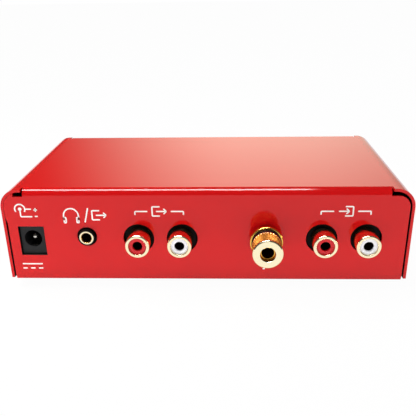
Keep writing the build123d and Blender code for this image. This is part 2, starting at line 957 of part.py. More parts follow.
with BuildPart() as ground_wire:
    wire_x = -(ground_u + lug_tail - lug_width / 2)
    wire_start_y = rear_y + nut_start
    wire_z = case_bottom + ground_v
    with BuildLine():
        wire_path = FilletPolyline(
            (wire_x, wire_start_y, wire_z),
            (wire_x, wire_start_y - wire_run, wire_z),
            (wire_x, wire_start_y - wire_run, case_bottom + board_top),
            radius=wire_bend,
        )
    with BuildSketch(Plane(origin=wire_path @ 0, z_dir=wire_path % 0)):
        Circle(wire_radius)
    sweep(path=wire_path)
keep(ground_wire, "ground_wire")


# ---------------------------------------------------------------- controls
def make_control(name, u, knob_radius):
    """A potentiometer on the board with its bushing, nut, shaft and knob."""
    axis = front_axis(u, control_v)
    inner_face = front_face.offset(-sheet)
    pot_height = control_v - board_top + pot_cap
    with BuildPart() as pot_body:
        block(
            inner_face,
            u,
            board_top + pot_height / 2,
            pot_width,
            pot_height,
            pot_depth,
        )
        turn(
            axis,
            [
                (0, -sheet),
                (shaft_radius + shaft_running, -sheet),
                (shaft_radius + shaft_running, -sheet - shaft_in_pot - shaft_running),
                (0, -sheet - shaft_in_pot - shaft_running),
            ],
            mode=Mode.SUBTRACT,
        )
    keep(pot_body, f"{name}_pot_body")

    with BuildPart() as bushing:
        tube(axis, bushing_radius, shaft_radius + shaft_running, -sheet, bushing_length - sheet)
    keep(bushing, f"{name}_pot_bushing")

    with BuildPart() as nut:
        hex_nut(
            front_face,
            u,
            control_v,
            panel_nut_flats,
            bushing_radius + thread_clearance,
            panel_nut_length,
        )
    keep(nut, f"{name}_pot_nut")

    shaft_end = knob_gap + knob_bore_depth
    with BuildPart() as shaft:
        turn(
            axis,
            [
                (0, -sheet - shaft_in_pot),
                (shaft_radius, -sheet - shaft_in_pot),
                (shaft_radius, shaft_end - shaft_chamfer),
                (shaft_radius - shaft_chamfer, shaft_end),
                (0, shaft_end),
            ],
        )
    keep(shaft, f"{name}_pot_shaft")

    top = knob_gap + knob_height
    grip = knob_radius - knob_step
    cap_radius = grip - knob_taper - cap_inset
    flute_count = round(2 * pi * grip / flute_pitch)
    with BuildPart() as knob:
        turn(
            axis,
            [
                (0, knob_gap),
                (knob_radius, knob_gap),
                (knob_radius, knob_gap + knob_skirt),
                (grip, knob_gap + knob_skirt + knob_step_height),
                (grip - knob_taper, top - knob_edge),
                (grip - knob_taper - knob_edge, top),
                (0, top),
            ],
        )
        # Stepped hollow that clears the nut, then the end of the bushing.
        bushing_clear = bushing_radius + knob_hollow_gap
        nut_depth = panel_nut_length + knob_hollow_gap
        bushing_depth = bushing_length - sheet + knob_hollow_gap
        turn(
            axis,
            [
                (0, knob_gap),
                (nut_clear, knob_gap),
                (nut_clear, nut_depth),
                (bushing_clear, nut_depth),
                (bushing_clear, bushing_depth),
                (0, bushing_depth),
            ],
            mode=Mode.SUBTRACT,
        )
        turn(
            axis,
            [
                (0, knob_gap),
                (shaft_radius + shaft_running, knob_gap),
                (shaft_radius + shaft_running, shaft_end + shaft_running),
                (0, shaft_end + shaft_running),
            ],
            mode=Mode.SUBTRACT,
        )
        # Shallow recess for the cap, and the flutes round the grip.
        turn(
            axis,
            [(0, top - cap_sheet), (cap_radius, top - cap_sheet), (cap_radius, top), (0, top)],
            mode=Mode.SUBTRACT,
        )
        flute_plane = front_face.offset(top)
        with BuildSketch(flute_plane) as flutes:
            with Locations((u, control_v)):
                with PolarLocations(grip + flute_radius - flute_depth, flute_count):
                    Circle(flute_radius)
        flute_length = knob_height - knob_skirt - knob_step_height
        extrude(flutes.sketch, amount=-flute_length, mode=Mode.SUBTRACT)
    keep(knob, f"{name}_knob")

    # Metal cap with a pointer line let into it.
    groove_length = cap_radius - line_inset
    with BuildPart() as cap:
        turn(
            axis,
            [
                (0, top - cap_sheet),
                (cap_radius - cap_clearance, top - cap_sheet),
                (cap_radius - cap_clearance, top),
                (0, top),
            ],
        )
        block(
            front_face.offset(top),
            u,
            control_v + cap_radius - groove_length / 2,
            line_width,
            groove_length,
            line_depth,
            mode=Mode.SUBTRACT,
        )
    keep(cap, f"{name}_knob_cap")

    with BuildPart() as line:
        block(
            front_face.offset(top),
            u,
            control_v + cap_radius - (line_inset + groove_length) / 2,
            line_width,
            groove_length - line_inset,
            line_depth,
        )
    keep(line, f"{name}_knob_line")


nut_clear = panel_nut_flats / sqrt(3) + knob_hollow_gap
make_control("level", level_u, nut_clear + level_knob_wall)
make_control("gain", gain_u, nut_clear + gain_knob_wall)

# ---------------------------------------------------------------- filter switch
switch_axis = front_axis(switch_u, control_v)
switch_mouth = switch_bushing_length - sheet
with BuildPart() as filter_switch_body:
    block(
        front_face.offset(-sheet), switch_u, control_v, switch_width, switch_height, switch_depth
    )
keep(filter_switch_body, "filter_switch_body")

with BuildPart() as filter_switch_bushing:
    tube(switch_axis, switch_bushing_radius, switch_bore, -sheet, switch_mouth)
keep(filter_switch_bushing, "filter_switch_bushing")

with BuildPart() as filter_switch_nut:
    hex_nut(
        front_face,
        switch_u,
        control_v,
        switch_nut_flats,
        switch_bushing_radius + thread_clearance,
        switch_nut_length,
    )
keep(filter_switch_nut, "filter_switch_nut")

with BuildPart() as filter_switch_lever:
    tilt = radians(lever_tilt)
    lever_axis = Plane(
        origin=(switch_u, front_y - lever_pivot, case_bottom + control_v),
        x_dir=(-1, 0, 0),
        z_dir=(0, sin(tilt), cos(tilt)),
    )
    with BuildSketch(lever_axis) as lever_section:
        with BuildLine():
            ball = CenterArc((0, 0), lever_ball, -90, lever_ball_sweep)
            Polyline(
                ball @ 1,
                (lever_neck, lever_neck_reach),
                (lever_tip, lever_length - lever_tip),
            )
            end_cap = CenterArc((0, lever_length - lever_tip), lever_tip, 0, 90)
            Line(end_cap @ 1, ball @ 0)
        make_face()
    revolve(lever_section.sketch, axis=Axis(lever_axis.origin, lever_axis.y_dir))
keep(filter_switch_lever, "filter_switch_lever")

# ---------------------------------------------------------------- power lamp
led_axis = front_axis(led_u, control_v)
led_back = -led_body
with BuildPart() as power_led_bezel:
    turn(
        led_axis,
        [
            (led_radius + bezel_clearance, -bezel_tail),
            (bezel_tail_radius, -bezel_tail),
            (bezel_tail_radius, 0),
            (bezel_radius, 0),
            (bezel_radius, bezel_reach - bezel_bevel),
            (bezel_radius - bezel_bevel, bezel_reach),
            (led_radius + bezel_clearance, bezel_reach),
        ],
    )
keep(power_led_bezel, "power_led_bezel")

with BuildPart() as power_led:
    with BuildSketch(led_axis) as led_section:
        with BuildLine():
            outline = Polyline(
                (0, led_back),
                (led_flange, led_back),
                (led_flange, led_back + led_flange_length),
                (led_radius, led_back + led_flange_length),
                (led_radius, led_dome),
            )
            dome = CenterArc((0, led_dome), led_radius, 0, 90)
            Line(dome @ 1, outline @ 0)
        make_face()
    revolve(led_section.sketch, axis=Axis(led_axis.origin, led_axis.y_dir))
keep(power_led, "power_led")

with BuildPart() as power_led_legs:
    leg_y = front_y - led_back
    leg_z = case_bottom + control_v
    for side in (-1, 1):
        with BuildSketch(Plane.YZ.offset(led_u + side * led_leg_spacing / 2)) as leg_section:
            with BuildLine():
                FilletPolyline(
                    (leg_y, leg_z),
                    (leg_y + led_leg_run, leg_z),
                    (leg_y + led_leg_run, case_bottom + board_top),
                    radius=led_leg_bend,
                )
            trace(line_width=led_leg)
        extrude(leg_section.sketch, amount=led_leg / 2, both=True)
keep(power_led_legs, "power_led_legs")

# ---------------------------------------------------------------- parts on the board
board_z = case_bottom + board_top
with BuildPart() as op_amps:
    with BuildSketch(Plane.XY.offset(board_z + chip_lift)) as chips:
        with Locations(*[(x, middle_y + chip_y) for x in chip_x]):
            Rectangle(chip_length, chip_width)
            with Locations((-chip_length / 2, 0)):
                Circle(chip_notch, mode=Mode.SUBTRACT)
    extrude(chips.sketch, amount=chip_height)
keep(op_amps, "op_amps")

with BuildPart() as op_amp_pins:
    shoulder_z = board_z + chip_lift + chip_height / 2
    for x in chip_x:
        for n in range(4):
            for side in (-1, 1):
                pin_x = x + (n - 1.5) * pin_pitch
                pin_y = middle_y + chip_y + side * (chip_width / 2 + pin_splay)
                with BuildSketch(Plane.YZ.offset(pin_x)) as pin_section:
                    with BuildLine():
                        Polyline(
                            (middle_y + chip_y + side * chip_width / 2, shoulder_z),
                            (pin_y, shoulder_z),
                            (pin_y, board_z),
                        )
                    trace(line_width=pin_sheet)
                extrude(pin_section.sketch, amount=pin_width / 2, both=True)
keep(op_amp_pins, "op_amp_pins")

can_places = [(side - board_half, y) for side in filter_can_side for y in filter_can_rows]
can_places.extend(supply_can_places)
with BuildPart() as electrolytic_capacitors:
    for x, y in can_places:
        turn(
            up_axis(x, middle_y + y, board_z),
            [
                (0, 0),
                (can_radius - can_edge / 2, 0),
                (can_radius, can_edge),
                (can_radius, can_height - can_edge),
                (can_radius - can_edge, can_height),
                (0, can_height),
            ],
        )
keep(electrolytic_capacitors, "electrolytic_capacitors")

film_y = rear_y + body_start - phono_body_depth - film_gap - film_length / 2
film_x = [offset - input_u for offset in film_input_offsets]
film_x.extend(offset - output_u for offset in film_output_offsets)
with BuildPart() as film_capacitors:
    with BuildSketch(board_face) as films:
        with Locations(*[(x, film_y) for x in film_x]):
            Rectangle(film_width, film_length)
    extrude(films.sketch, amount=film_height)
    fillet(film_capacitors.edges().filter_by(Axis.Z), film_corner)
keep(film_capacitors, "film_capacitors")

with BuildPart() as resistors:
    lead_z = board_z + resistor_radius + resistor_gap
    half = resistor_length / 2
    for row in resistor_rows:
        y = middle_y + row
        for x in resistor_x:
            with BuildSketch(Plane.YZ.offset(x)) as lead_section:
                with BuildLine():
                    FilletPolyline(
                        (y - resistor_span / 2, board_z),
                        (y - resistor_span / 2, lead_z),
                        (y + resistor_span / 2, lead_z),
                        (y + resistor_span / 2, board_z),
                        radius=resistor_lead_bend,
                    )
                trace(line_width=resistor_lead)
            extrude(lead_section.sketch, amount=resistor_lead / 2, both=True)
            turn(
                Plane(origin=(x, y, lead_z), x_dir=(1, 0, 0), z_dir=(0, 0, 1)),
                [
                    (0, -half),
                    (resistor_end_radius, -half),
                    (resistor_radius, resistor_shoulder - half),
                    (resistor_radius, half - resistor_shoulder),
                    (resistor_end_radius, half),
                    (0, half),
                ],
            )
keep(resistors, "resistors")

regulator_x = board_half - regulator_side
with BuildPart() as voltage_regulator:
    package_y = middle_y + regulator_y
    tab_y = package_y + (regulator_depth - regulator_tab) / 2
    with BuildSketch(Plane.XY.offset(board_z + regulator_lift)) as package:
        with Locations((regulator_x, package_y)):
            Rectangle(regulator_width, regulator_depth)
    extrude(package.sketch, amount=regulator_height)
    with BuildSketch(Plane.XY.offset(board_z + regulator_lift)) as tab:
        with Locations((regulator_x, tab_y)):
            Rectangle(regulator_width, regulator_tab)
    extrude(tab.sketch, amount=regulator_tab_height)
keep(voltage_regulator, "voltage_regulator")

with BuildPart() as regulator_legs:
    with BuildSketch(board_face) as leg_sections:
        with Locations((regulator_x, middle_y + regulator_y)):
            with GridLocations(pin_pitch, 0, 3, 1):
                Rectangle(regulator_leg_width, regulator_leg_sheet)
    extrude(leg_sections.sketch, amount=regulator_lift)
keep(regulator_legs, "regulator_legs")

with BuildPart() as rectifier_diodes:
    for row in diode_rows:
        turn(
            Plane(
                origin=(board_half - diode_side, middle_y + row, board_z + diode_radius),
                x_dir=(0, 1, 0),
                z_dir=(0, 0, -1),
            ),
            [
                (0, -diode_length / 2),
                (diode_radius, -diode_length / 2),
                (diode_radius, diode_length / 2),
                (0, diode_length / 2),
            ],
        )
keep(rectifier_diodes, "rectifier_diodes")
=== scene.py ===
# %% [markdown]
# # A phono preamp in a folded steel case
#
# A phono preamp lifts the faint signal of a record player's pickup to the level that an
# amplifier expects. This one is a low red box with its sockets behind and its controls in front.
#
# The CAD model gives every piece its size and place. This lesson dresses it: a piece whose
# CAD form is right gets a soft edge and a real finish, and what is turned, knurled or printed
# is grown again by Geometry Nodes in the same place.

import json
from math import cos, hypot, pi, radians, sin

import bmesh
import bpy
from mathutils import Matrix, Vector


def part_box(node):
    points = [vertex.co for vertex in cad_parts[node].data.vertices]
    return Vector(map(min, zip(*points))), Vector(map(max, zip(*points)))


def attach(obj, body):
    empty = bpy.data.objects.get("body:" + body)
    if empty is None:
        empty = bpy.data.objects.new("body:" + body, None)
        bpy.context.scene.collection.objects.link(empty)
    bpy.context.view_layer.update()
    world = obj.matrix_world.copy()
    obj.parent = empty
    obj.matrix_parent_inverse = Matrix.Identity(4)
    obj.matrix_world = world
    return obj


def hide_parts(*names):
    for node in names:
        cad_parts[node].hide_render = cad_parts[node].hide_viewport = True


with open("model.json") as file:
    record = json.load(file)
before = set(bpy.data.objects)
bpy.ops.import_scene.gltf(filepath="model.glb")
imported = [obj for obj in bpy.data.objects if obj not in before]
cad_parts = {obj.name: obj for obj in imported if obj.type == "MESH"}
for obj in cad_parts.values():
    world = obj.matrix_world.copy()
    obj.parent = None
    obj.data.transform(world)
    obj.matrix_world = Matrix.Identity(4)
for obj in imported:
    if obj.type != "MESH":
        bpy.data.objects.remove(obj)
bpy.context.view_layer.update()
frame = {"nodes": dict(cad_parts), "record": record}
MM = 0.001
scene = bpy.context.scene
behaviour = frame["record"]["behaviour"]
body_of = {node: body for body, nodes in behaviour["bodies"].items() for node in nodes}
slot_of = {part["node"]: part["material_slot"] for part in frame["record"]["subparts"]}

# %% Places on the case
case_low, case_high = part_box("cover_shell")
rear = case_high.y
front = case_low.y
top = case_high.z
# The folded sides stop this far, in mm, above the lower edges of the end panels.
side_lift = 0.6
sill = case_low.z + side_lift * MM


def middle(node):
    """Centre of a CAD node's box."""
    low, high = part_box(node)
    return (low + high) / 2


def on_rear(*nodes):
    """Points on the connector panel, one straight behind each node."""
    return [Vector((middle(node).x, rear, middle(node).z)) for node in nodes]


def on_front(*nodes):
    """Points on the control panel, one straight behind each node."""
    return [Vector((middle(node).x, front, middle(node).z)) for node in nodes]


print("case", [round(side / MM, 1) for side in case_high - case_low], "mm")

# %% [markdown]
# ## Camera
#
# The camera stands behind the case, a little over its own length away, and looks down at the
# connector panel. A lens shift lifts the case in the frame without tilting its uprights further,
# as a view camera does. Its three angles are in degrees, and its lens is given for a square
# picture of 416 pixels.

# %% Camera
camera_place = Vector((-9.676, 221.649, 102.212)) * MM
camera_heading = 182.711
camera_tilt = 65.86
camera_roll = -1.049
frame_pixels = 416
lift_pixels = 32
focal_pixels = 581.15

camera_data = bpy.data.cameras.new("camera")
camera_data.sensor_width = 36.0
camera_data.lens = focal_pixels / frame_pixels * camera_data.sensor_width
camera_data.shift_y = lift_pixels / frame_pixels
camera_data.clip_start = 1 * MM
camera = bpy.data.objects.new("camera", camera_data)
scene.collection.objects.link(camera)
turn = Matrix.Rotation(radians(camera_heading), 4, "Z")
nod = Matrix.Rotation(radians(camera_tilt), 4, "X")
lean = Matrix.Rotation(radians(camera_roll), 4, "Z")
camera.matrix_world = Matrix.Translation(camera_place) @ turn @ nod @ lean
scene.camera = camera
scene.view_settings.view_transform = "Standard"
print("lens", round(camera_data.lens, 1), "mm")

# %% [markdown]
# ## Nodes in one line
#
# Every tree below, for shading or for geometry, is written with one helper: it adds a node,
# sets it up and fills its inputs, each with a value or with another node's output. Colours are
# written as the hex values of a paint chart and turned to linear light by one function.


# %% Helpers for node trees
def add(tree, kind, inputs=None, **settings):
    """Add a node, set it up, and fill inputs by name or number with values or other outputs."""
    node = tree.nodes.new(kind)
    for name, value in settings.items():
        setattr(node, name, value)
    for key, value in (inputs or {}).items():
        if isinstance(value, bpy.types.NodeSocket):
            tree.links.new(value, node.inputs[key])
        else:
            node.inputs[key].default_value = value
    return node


def linear(code):
    """Linear light for an sRGB hex colour."""
    shares = [int(code[i : i + 2], 16) / 255 for i in (1, 3, 5)]
    light = [s / 12.92 if s <= 0.04045 else ((s + 0.055) / 1.055) ** 2.4 for s in shares]
    return (*light, 1.0)


white = linear("#FFFFFF")
print("mid grey #808080 is", round(linear("#808080")[0], 3), "in linear light")

# %% [markdown]
# ## Studio
#
# The case stands on a white sweep. The floor shows as white to the camera and to gloss, with a
# share of plain diffuse paper left in it, so that a faint shadow stays. The room is even and
# soft, but what gloss mirrors in it is shaped: a bright wall beyond the case that fades at its
# ends, because gloss paint shows best when it mirrors light that fades.

# %% Floor
floor_half = 3.0
floor_glow = 0.97
paper = "#F4F4F4"

floor_material = bpy.data.materials.new("white_paper_sweep")
floor_material.use_nodes = True
tree = floor_material.node_tree
tree.nodes.clear()
rays = add(tree, "ShaderNodeLightPath").outputs
seen = {0: rays["Is Camera Ray"], 1: rays["Is Glossy Ray"]}
seen = add(tree, "ShaderNodeMath", seen, operation="MAXIMUM")
seen = {0: seen.outputs[0], 1: rays["Is Transmission Ray"]}
seen = add(tree, "ShaderNodeMath", seen, operation="MAXIMUM")
share = add(tree, "ShaderNodeMath", {0: seen.outputs[0], 1: floor_glow}, operation="MULTIPLY")
sheet = add(tree, "ShaderNodeBsdfDiffuse", {"Color": linear(paper)})
glow = add(tree, "ShaderNodeEmission", {"Color": white, "Strength": 1.0})
mixed = {0: share.outputs[0], 1: sheet.outputs[0], 2: glow.outputs[0]}
mixed = add(tree, "ShaderNodeMixShader", mixed)
add(tree, "ShaderNodeOutputMaterial", {"Surface": mixed.outputs[0]})

floor_mesh = bpy.data.meshes.new("floor")
corners = [(x, y, 0) for x, y in ((-1, -1), (1, -1), (1, 1), (-1, 1))]
floor_mesh.from_pydata([Vector(c) * floor_half for c in corners], [], [(0, 1, 2, 3)])
floor_mesh.materials.append(floor_material)
floor = bpy.data.objects.new("floor", floor_mesh)
scene.collection.objects.link(floor)
print("floor", 2 * floor_half, "m square")

# %% Room
room_light = 0.45
mirror_dark = 0.08
wall_bright = 1.75
warm_white = "#FFFBE4"
# Gloss mirrors a wall that stands beyond the controls, low over the floor. Each fade takes one
# axis of the mirrored direction and says where along it the wall is dark and where it is bright.
fades = [("X", 0.34, -0.02), ("X", -0.62, -0.08), ("Y", -0.2, -0.7), ("Z", 0.66, 0.38)]

world = bpy.data.worlds.new("studio_room")
scene.world = world
world.use_nodes = True
tree = world.node_tree
tree.nodes.clear()
rays = add(tree, "ShaderNodeLightPath").outputs
toward = add(tree, "ShaderNodeTexCoord").outputs["Generated"]
toward = add(tree, "ShaderNodeSeparateXYZ", {0: toward}).outputs
wall = None
for axis, dark, bright in fades:
    ramp = {"Value": toward[axis], "From Min": dark, "From Max": bright}
    ramp = add(tree, "ShaderNodeMapRange", ramp, interpolation_type="SMOOTHSTEP")
    fade = ramp.outputs["Result"]
    if wall:
        fade = add(tree, "ShaderNodeMath", {0: wall, 1: fade}, operation="MULTIPLY").outputs[0]
    wall = fade
mirrored = {0: wall, 1: wall_bright, 2: mirror_dark}
mirrored = add(tree, "ShaderNodeMath", mirrored, operation="MULTIPLY_ADD")
strength = {"Factor": rays["Is Glossy Ray"], 2: room_light, 3: mirrored.outputs[0]}
strength = add(tree, "ShaderNodeMix", strength)
open_rays = {0: rays["Is Camera Ray"], 1: rays["Is Transmission Ray"]}
open_rays = add(tree, "ShaderNodeMath", open_rays, operation="MAXIMUM")
strength = {"Factor": open_rays.outputs[0], 2: strength.outputs[0], 3: 1.0}
strength = add(tree, "ShaderNodeMix", strength)
tint = {"Factor": rays["Is Glossy Ray"], 6: white, 7: linear(warm_white)}
tint = add(tree, "ShaderNodeMix", tint, data_type="RGBA")
sky = {"Color": tint.outputs[2], "Strength": strength.outputs[0]}
sky = add(tree, "ShaderNodeBackground", sky)
add(tree, "ShaderNodeOutputWorld", {"Surface": sky.outputs[0]})
print("room light", room_light)

# %% [markdown]
# Five soft lamps shape the case: a large one overhead, a small one beyond the +X end, a fill that
# faces the connectors, and a bounce that stands for what the floor throws up in front of them.
# These four light the colours and are kept out of gloss, which would show them as rectangles.
# The gleam does the opposite: only gloss sees it, as a soft streak on the bend over the
# connectors and on what is round.


# %% Lamps
def softbox(name, place, aim, width, height, power, diffuse=True, glossy=True):
    """A rectangular lamp that faces a point: places and sizes in metres, power in watts."""
    lamp_data = bpy.data.lights.new(name, "AREA")
    lamp_data.shape = "RECTANGLE"
    lamp_data.size = width
    lamp_data.size_y = height
    lamp_data.energy = power
    lamp = bpy.data.objects.new(name, lamp_data)
    scene.collection.objects.link(lamp)
    facing = (Vector(place) - Vector(aim)).to_track_quat("Z", "Y")
    lamp.matrix_world = Matrix.Translation(place) @ facing.to_matrix().to_4x4()
    lamp.visible_camera = False
    lamp.visible_diffuse = diffuse
    lamp.visible_glossy = glossy


case_middle = Vector((0, 0, top / 2))
top_end = Vector((0.05, 0, top))
softbox("overhead", (0.2, 0.1, 0.9), case_middle, width=0.6, height=0.5, power=2.8, glossy=False)
softbox("side", (0.20, 0.0, 0.22), top_end, width=0.12, height=0.12, power=0.5, glossy=False)
softbox("fill", (0.1, 1.0, 0.12), case_middle, width=0.7, height=0.3, power=0.8, glossy=False)
over_bounce = Vector((0, 0.10, 1))
softbox("bounce", (0, 0.10, 0.002), over_bounce, width=0.3, height=0.12, power=0.09, glossy=False)
under_gleam = Vector((0.155, 0.06, 0))
softbox("gleam", (0.155, 0.06, 0.6), under_gleam, width=0.53, height=0.24, power=8.0, diffuse=False)

# %% [markdown]
# ## Finishes
#
# A finish starts as a Principled shader whose constants stand on its own sockets. Real
# surfaces are never quite even, so most finishes get a grain: noise of a size given in
# millimetres that lifts the surface a few thousandths or hundredths and shifts its roughness.


# %% Helpers for finishes
def finish(name, colour, constants):
    """A Principled material with its constants set."""
    material = bpy.data.materials.new(name)
    material.use_nodes = True
    shader = material.node_tree.nodes["Principled BSDF"]
    shader.inputs["Base Color"].default_value = linear(colour)
    for label, value in constants.items():
        shader.inputs[label].default_value = value
    return material


def on_piece(tree):
    """The place on a piece, in the piece's own coordinates, that a pattern reads."""
    return add(tree, "ShaderNodeTexCoord").outputs["Object"]


def noise_of(tree, size, detail):
    """Noise of a size in mm."""
    noise = {"Vector": on_piece(tree), "Scale": 1 / (size * MM), "Detail": detail}
    return add(tree, "ShaderNodeTexNoise", noise).outputs["Fac"]


# Noise seldom leaves this stretch of its values, so roughness is spread over it.
noise_span = (0.3, 0.7)


def relieve(material, height, depth, uneven, span, smooth, rough, strength=1.0):
    """Raise a surface by one pattern, depth in mm, and spread its roughness by another."""
    tree = material.node_tree
    shader = tree.nodes["Principled BSDF"]
    spread = {"Value": uneven, "From Min": span[0], "From Max": span[1]}
    spread = add(tree, "ShaderNodeMapRange", {**spread, "To Min": smooth, "To Max": rough})
    bump = {"Height": height, "Distance": depth * MM, "Strength": strength}
    bump = add(tree, "ShaderNodeBump", bump)
    tree.links.new(spread.outputs["Result"], shader.inputs["Roughness"])
    tree.links.new(bump.outputs["Normal"], shader.inputs["Normal"])


def add_grain(material, size, depth, smooth, rough, detail=3.0):
    """Uneven a finish: size and depth in mm, and the roughness between two values."""
    noise = noise_of(material.node_tree, size, detail)
    relieve(material, noise, depth, noise, noise_span, smooth, rough)


def add_mottle(material, size, other):
    """Let a finish drift to another colour over patches of a size in mm."""
    tree = material.node_tree
    shader = tree.nodes["Principled BSDF"]
    own = shader.inputs["Base Color"].default_value[:]
    blend = {"Factor": noise_of(tree, size, detail=2.0), 6: own, 7: linear(other)}
    blend = add(tree, "ShaderNodeMix", blend, data_type="RGBA")
    tree.links.new(blend.outputs[2], shader.inputs["Base Color"])


# %% [markdown]
# ## Making pieces
#
# A CAD mesh is loose triangles with knife edges. Real sheet, mouldings and turned parts have
# edges that are broken a little, and that thin line of light is what makes them look made. So a
# copy of the mesh is welded, its flat faces are joined up, and a narrow bevel is cut on what is
# still sharp.


# %% Helpers for pieces
def plain(carrier):
    """Apply what an object's modifiers do, remove the object and return the mesh."""
    graph = bpy.context.evaluated_depsgraph_get()
    mesh = bpy.data.meshes.new_from_object(carrier.evaluated_get(graph), depsgraph=graph)
    bpy.data.objects.remove(carrier)
    return mesh


def carrier_of(name, mesh):
    """An object at the origin that holds a mesh."""
    carrier = bpy.data.objects.new(name, mesh)
    scene.collection.objects.link(carrier)
    return carrier


# Faces that meet at more degrees than this have an edge between them, and the rest are a curve.
crease_angle = 35


def install(name, mesh, materials, body, slot, *replaced, crease=crease_angle):
    """Make a mesh a piece of the part: shaded, riding on a body and standing for CAD nodes."""
    mesh.name = name
    chosen = [face.material_index for face in mesh.polygons]
    mesh.materials.clear()
    for material in materials:
        mesh.materials.append(material)
    mesh.polygons.foreach_set("material_index", [min(i, len(materials) - 1) for i in chosen])
    if crease:
        mesh.shade_smooth()
        mesh.set_sharp_from_angle(angle=radians(crease))
    piece = carrier_of(name, mesh)
    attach(piece, body)
    if replaced:
        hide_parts(*replaced)
    print(name, len(mesh.polygons), "faces")


weld_distance = 0.001 * MM
# Neighbouring triangles that meet at fewer degrees than this are one flat face.
flat_angle = 0.05


def softened(node, edge, mark=None):
    """A welded copy of a CAD node's mesh with its sharp edges bevelled by edge, in mm."""
    work = bmesh.new()
    work.from_mesh(frame["nodes"][node].data)
    bmesh.ops.remove_doubles(work, verts=work.verts, dist=weld_distance)
    flat = radians(flat_angle)
    bmesh.ops.dissolve_limit(work, angle_limit=flat, verts=work.verts, edges=work.edges)
    if mark:
        mark(work)
    mesh = bpy.data.meshes.new(node)
    work.to_mesh(mesh)
    work.free()
    mesh.shade_smooth()
    carrier = carrier_of(node, mesh)
    bevel = carrier.modifiers.new("edge", "BEVEL")
    bevel.width = edge * MM
    bevel.segments = 2
    bevel.limit_method = "ANGLE"
    bevel.angle_limit = radians(crease_angle)
    # The large faces decide the shading, so a panel stays flat up to its bevel.
    weighted = carrier.modifiers.new("weighted", "WEIGHTED_NORMAL")
    weighted.mode = "FACE_AREA"
    weighted.weight = 100
    return plain(carrier)


def dress(node, material, edge):
    """Stand a softened copy in for a CAD node."""
    mesh = softened(node, edge)
    body, slot = body_of[node], slot_of[node]
    install(f"{node}_dressed", mesh, [material], body, slot, node, crease=None)


# %% [markdown]
# ## Case
#
# The cover is one sheet of 1 mm steel, folded down at the two ends and the two sides, and then
# sprayed. The paint is a gloss baking enamel: a red coat that lies flat in the large, with the
# faint orange peel that spraying leaves. It mirrors the room faintly where it is looked at
# squarely and strongly at a low angle, which the shader gets right from its IOR alone.

# %% Red enamel
enamel = finish("gloss_red_baking_enamel", "#CF1013", {"IOR": 1.4})
add_grain(enamel, size=1.6, depth=0.004, smooth=0.06, rough=0.10, detail=1.0)
add_mottle(enamel, size=40, other="#C90E11")


# %% [markdown]
# Only the outside is sprayed red. The inside is painted matt black as painted shade, so the open
# seams beside the panels read as black lines. A folded sheet's inner skin is one run of faces that
# meet at shallow angles, bounded by the square edges of the sheet. So it is found by spreading out
# from one face under the top until a square edge stops the spread. The sides of the power socket's
# hole get the same black, as painted shade in the hole, and are found by place.

# %% Cover and its inside in painted shade
inside_painted_shade = finish("matt_black_primer", "#0B0B0C", {"IOR": 1.45})
add_grain(inside_painted_shade, size=0.3, depth=0.01, smooth=0.6, rough=0.8)
square_edge = radians(50)
# The underside of the top looks down and lies less deep than this, in mm.
downward = -0.99
under_top_depth = 2.0
# The hole's sides lie this near to the socket's box and to the panel's face, in mm, and their
# normals have less than this share along Y.
hole_margin = 1.0
hole_depth = 1.5
hole_side = 0.5
socket_low, socket_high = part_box("power_jack_body")


def spread_from(seed):
    """Faces that join a seed face without crossing a square edge."""
    reached, edge_of_reach = {seed}, [seed]
    while edge_of_reach:
        face = edge_of_reach.pop()
        for edge in face.edges:
            for other in edge.link_faces:
                if other not in reached and edge.calc_face_angle(pi) < square_edge:
                    reached.add(other)
                    edge_of_reach.append(other)
    return reached


def under_top(face):
    """Whether a face looks down from just under the top."""
    return face.normal.z < downward and face.calc_center_median().z > top - under_top_depth * MM


def side_of_power_hole(face):
    """Whether a face is a side of the hole that the power socket looks out of."""
    if abs(face.normal.y) > hole_side:
        return False
    centre = face.calc_center_median()
    margin = hole_margin * MM
    deep = rear - hole_depth * MM < centre.y < rear
    across = socket_low.x - margin < centre.x < socket_high.x + margin
    up = socket_low.z - margin < centre.z < socket_high.z + margin
    return deep and across and up


def prime_inside(work):
    """Give the second material, black painted shade, to the cover's inner skin and the power socket's
    hole.
    """
    seed = max(filter(under_top, work.faces), key=lambda face: face.calc_area())
    for face in [*spread_from(seed), *filter(side_of_power_hole, work.faces)]:
        face.material_index = 1


# The inner skin and the hole's sides get the black of painted shade.
cover = softened("cover_shell", edge=0.18, mark=prime_inside)
install("cover_shell_painted", cover, [enamel, inside_painted_shade], "case", "red_enamel", "cover_shell", crease=None)

# %% [markdown]
# The base is a flat plate of 1 mm steel in satin black, held by pan-head screws. Four rubber
# feet keep it off the shelf.

# %% Base plate
satin_black = finish("satin_black_powder_coat", "#17171A", {"IOR": 1.5})
add_grain(satin_black, size=0.5, depth=0.02, smooth=0.42, rough=0.58)
dress("base_plate", satin_black, edge=0.12)

# %% [markdown]
# ## Turned parts
#
# Barrels, bushings and feet all start on a lathe or in a round mould, so one tree turns them
# all. It takes an outline of points, each with the radius of its own rounding, fillets it and
# sweeps it round a small guide circle. A second tree sets the finished form out at its places,
# turned to its axis, which is why a pair of sockets or four feet are one outline each.


# %% The lathe tree
def new_tree(name, **inputs):
    """A Geometry Nodes tree with named inputs; returns it with its input and output sockets."""
    tree = bpy.data.node_groups.new(name, "GeometryNodeTree")
    tree.interface.new_socket("Geometry", in_out="INPUT", socket_type="NodeSocketGeometry")
    for label, kind in inputs.items():
        tree.interface.new_socket(label, in_out="INPUT", socket_type="NodeSocket" + kind)
    tree.interface.new_socket("Geometry", in_out="OUTPUT", socket_type="NodeSocketGeometry")
    return tree, tree.nodes.new("NodeGroupInput").outputs, tree.nodes.new("NodeGroupOutput").inputs


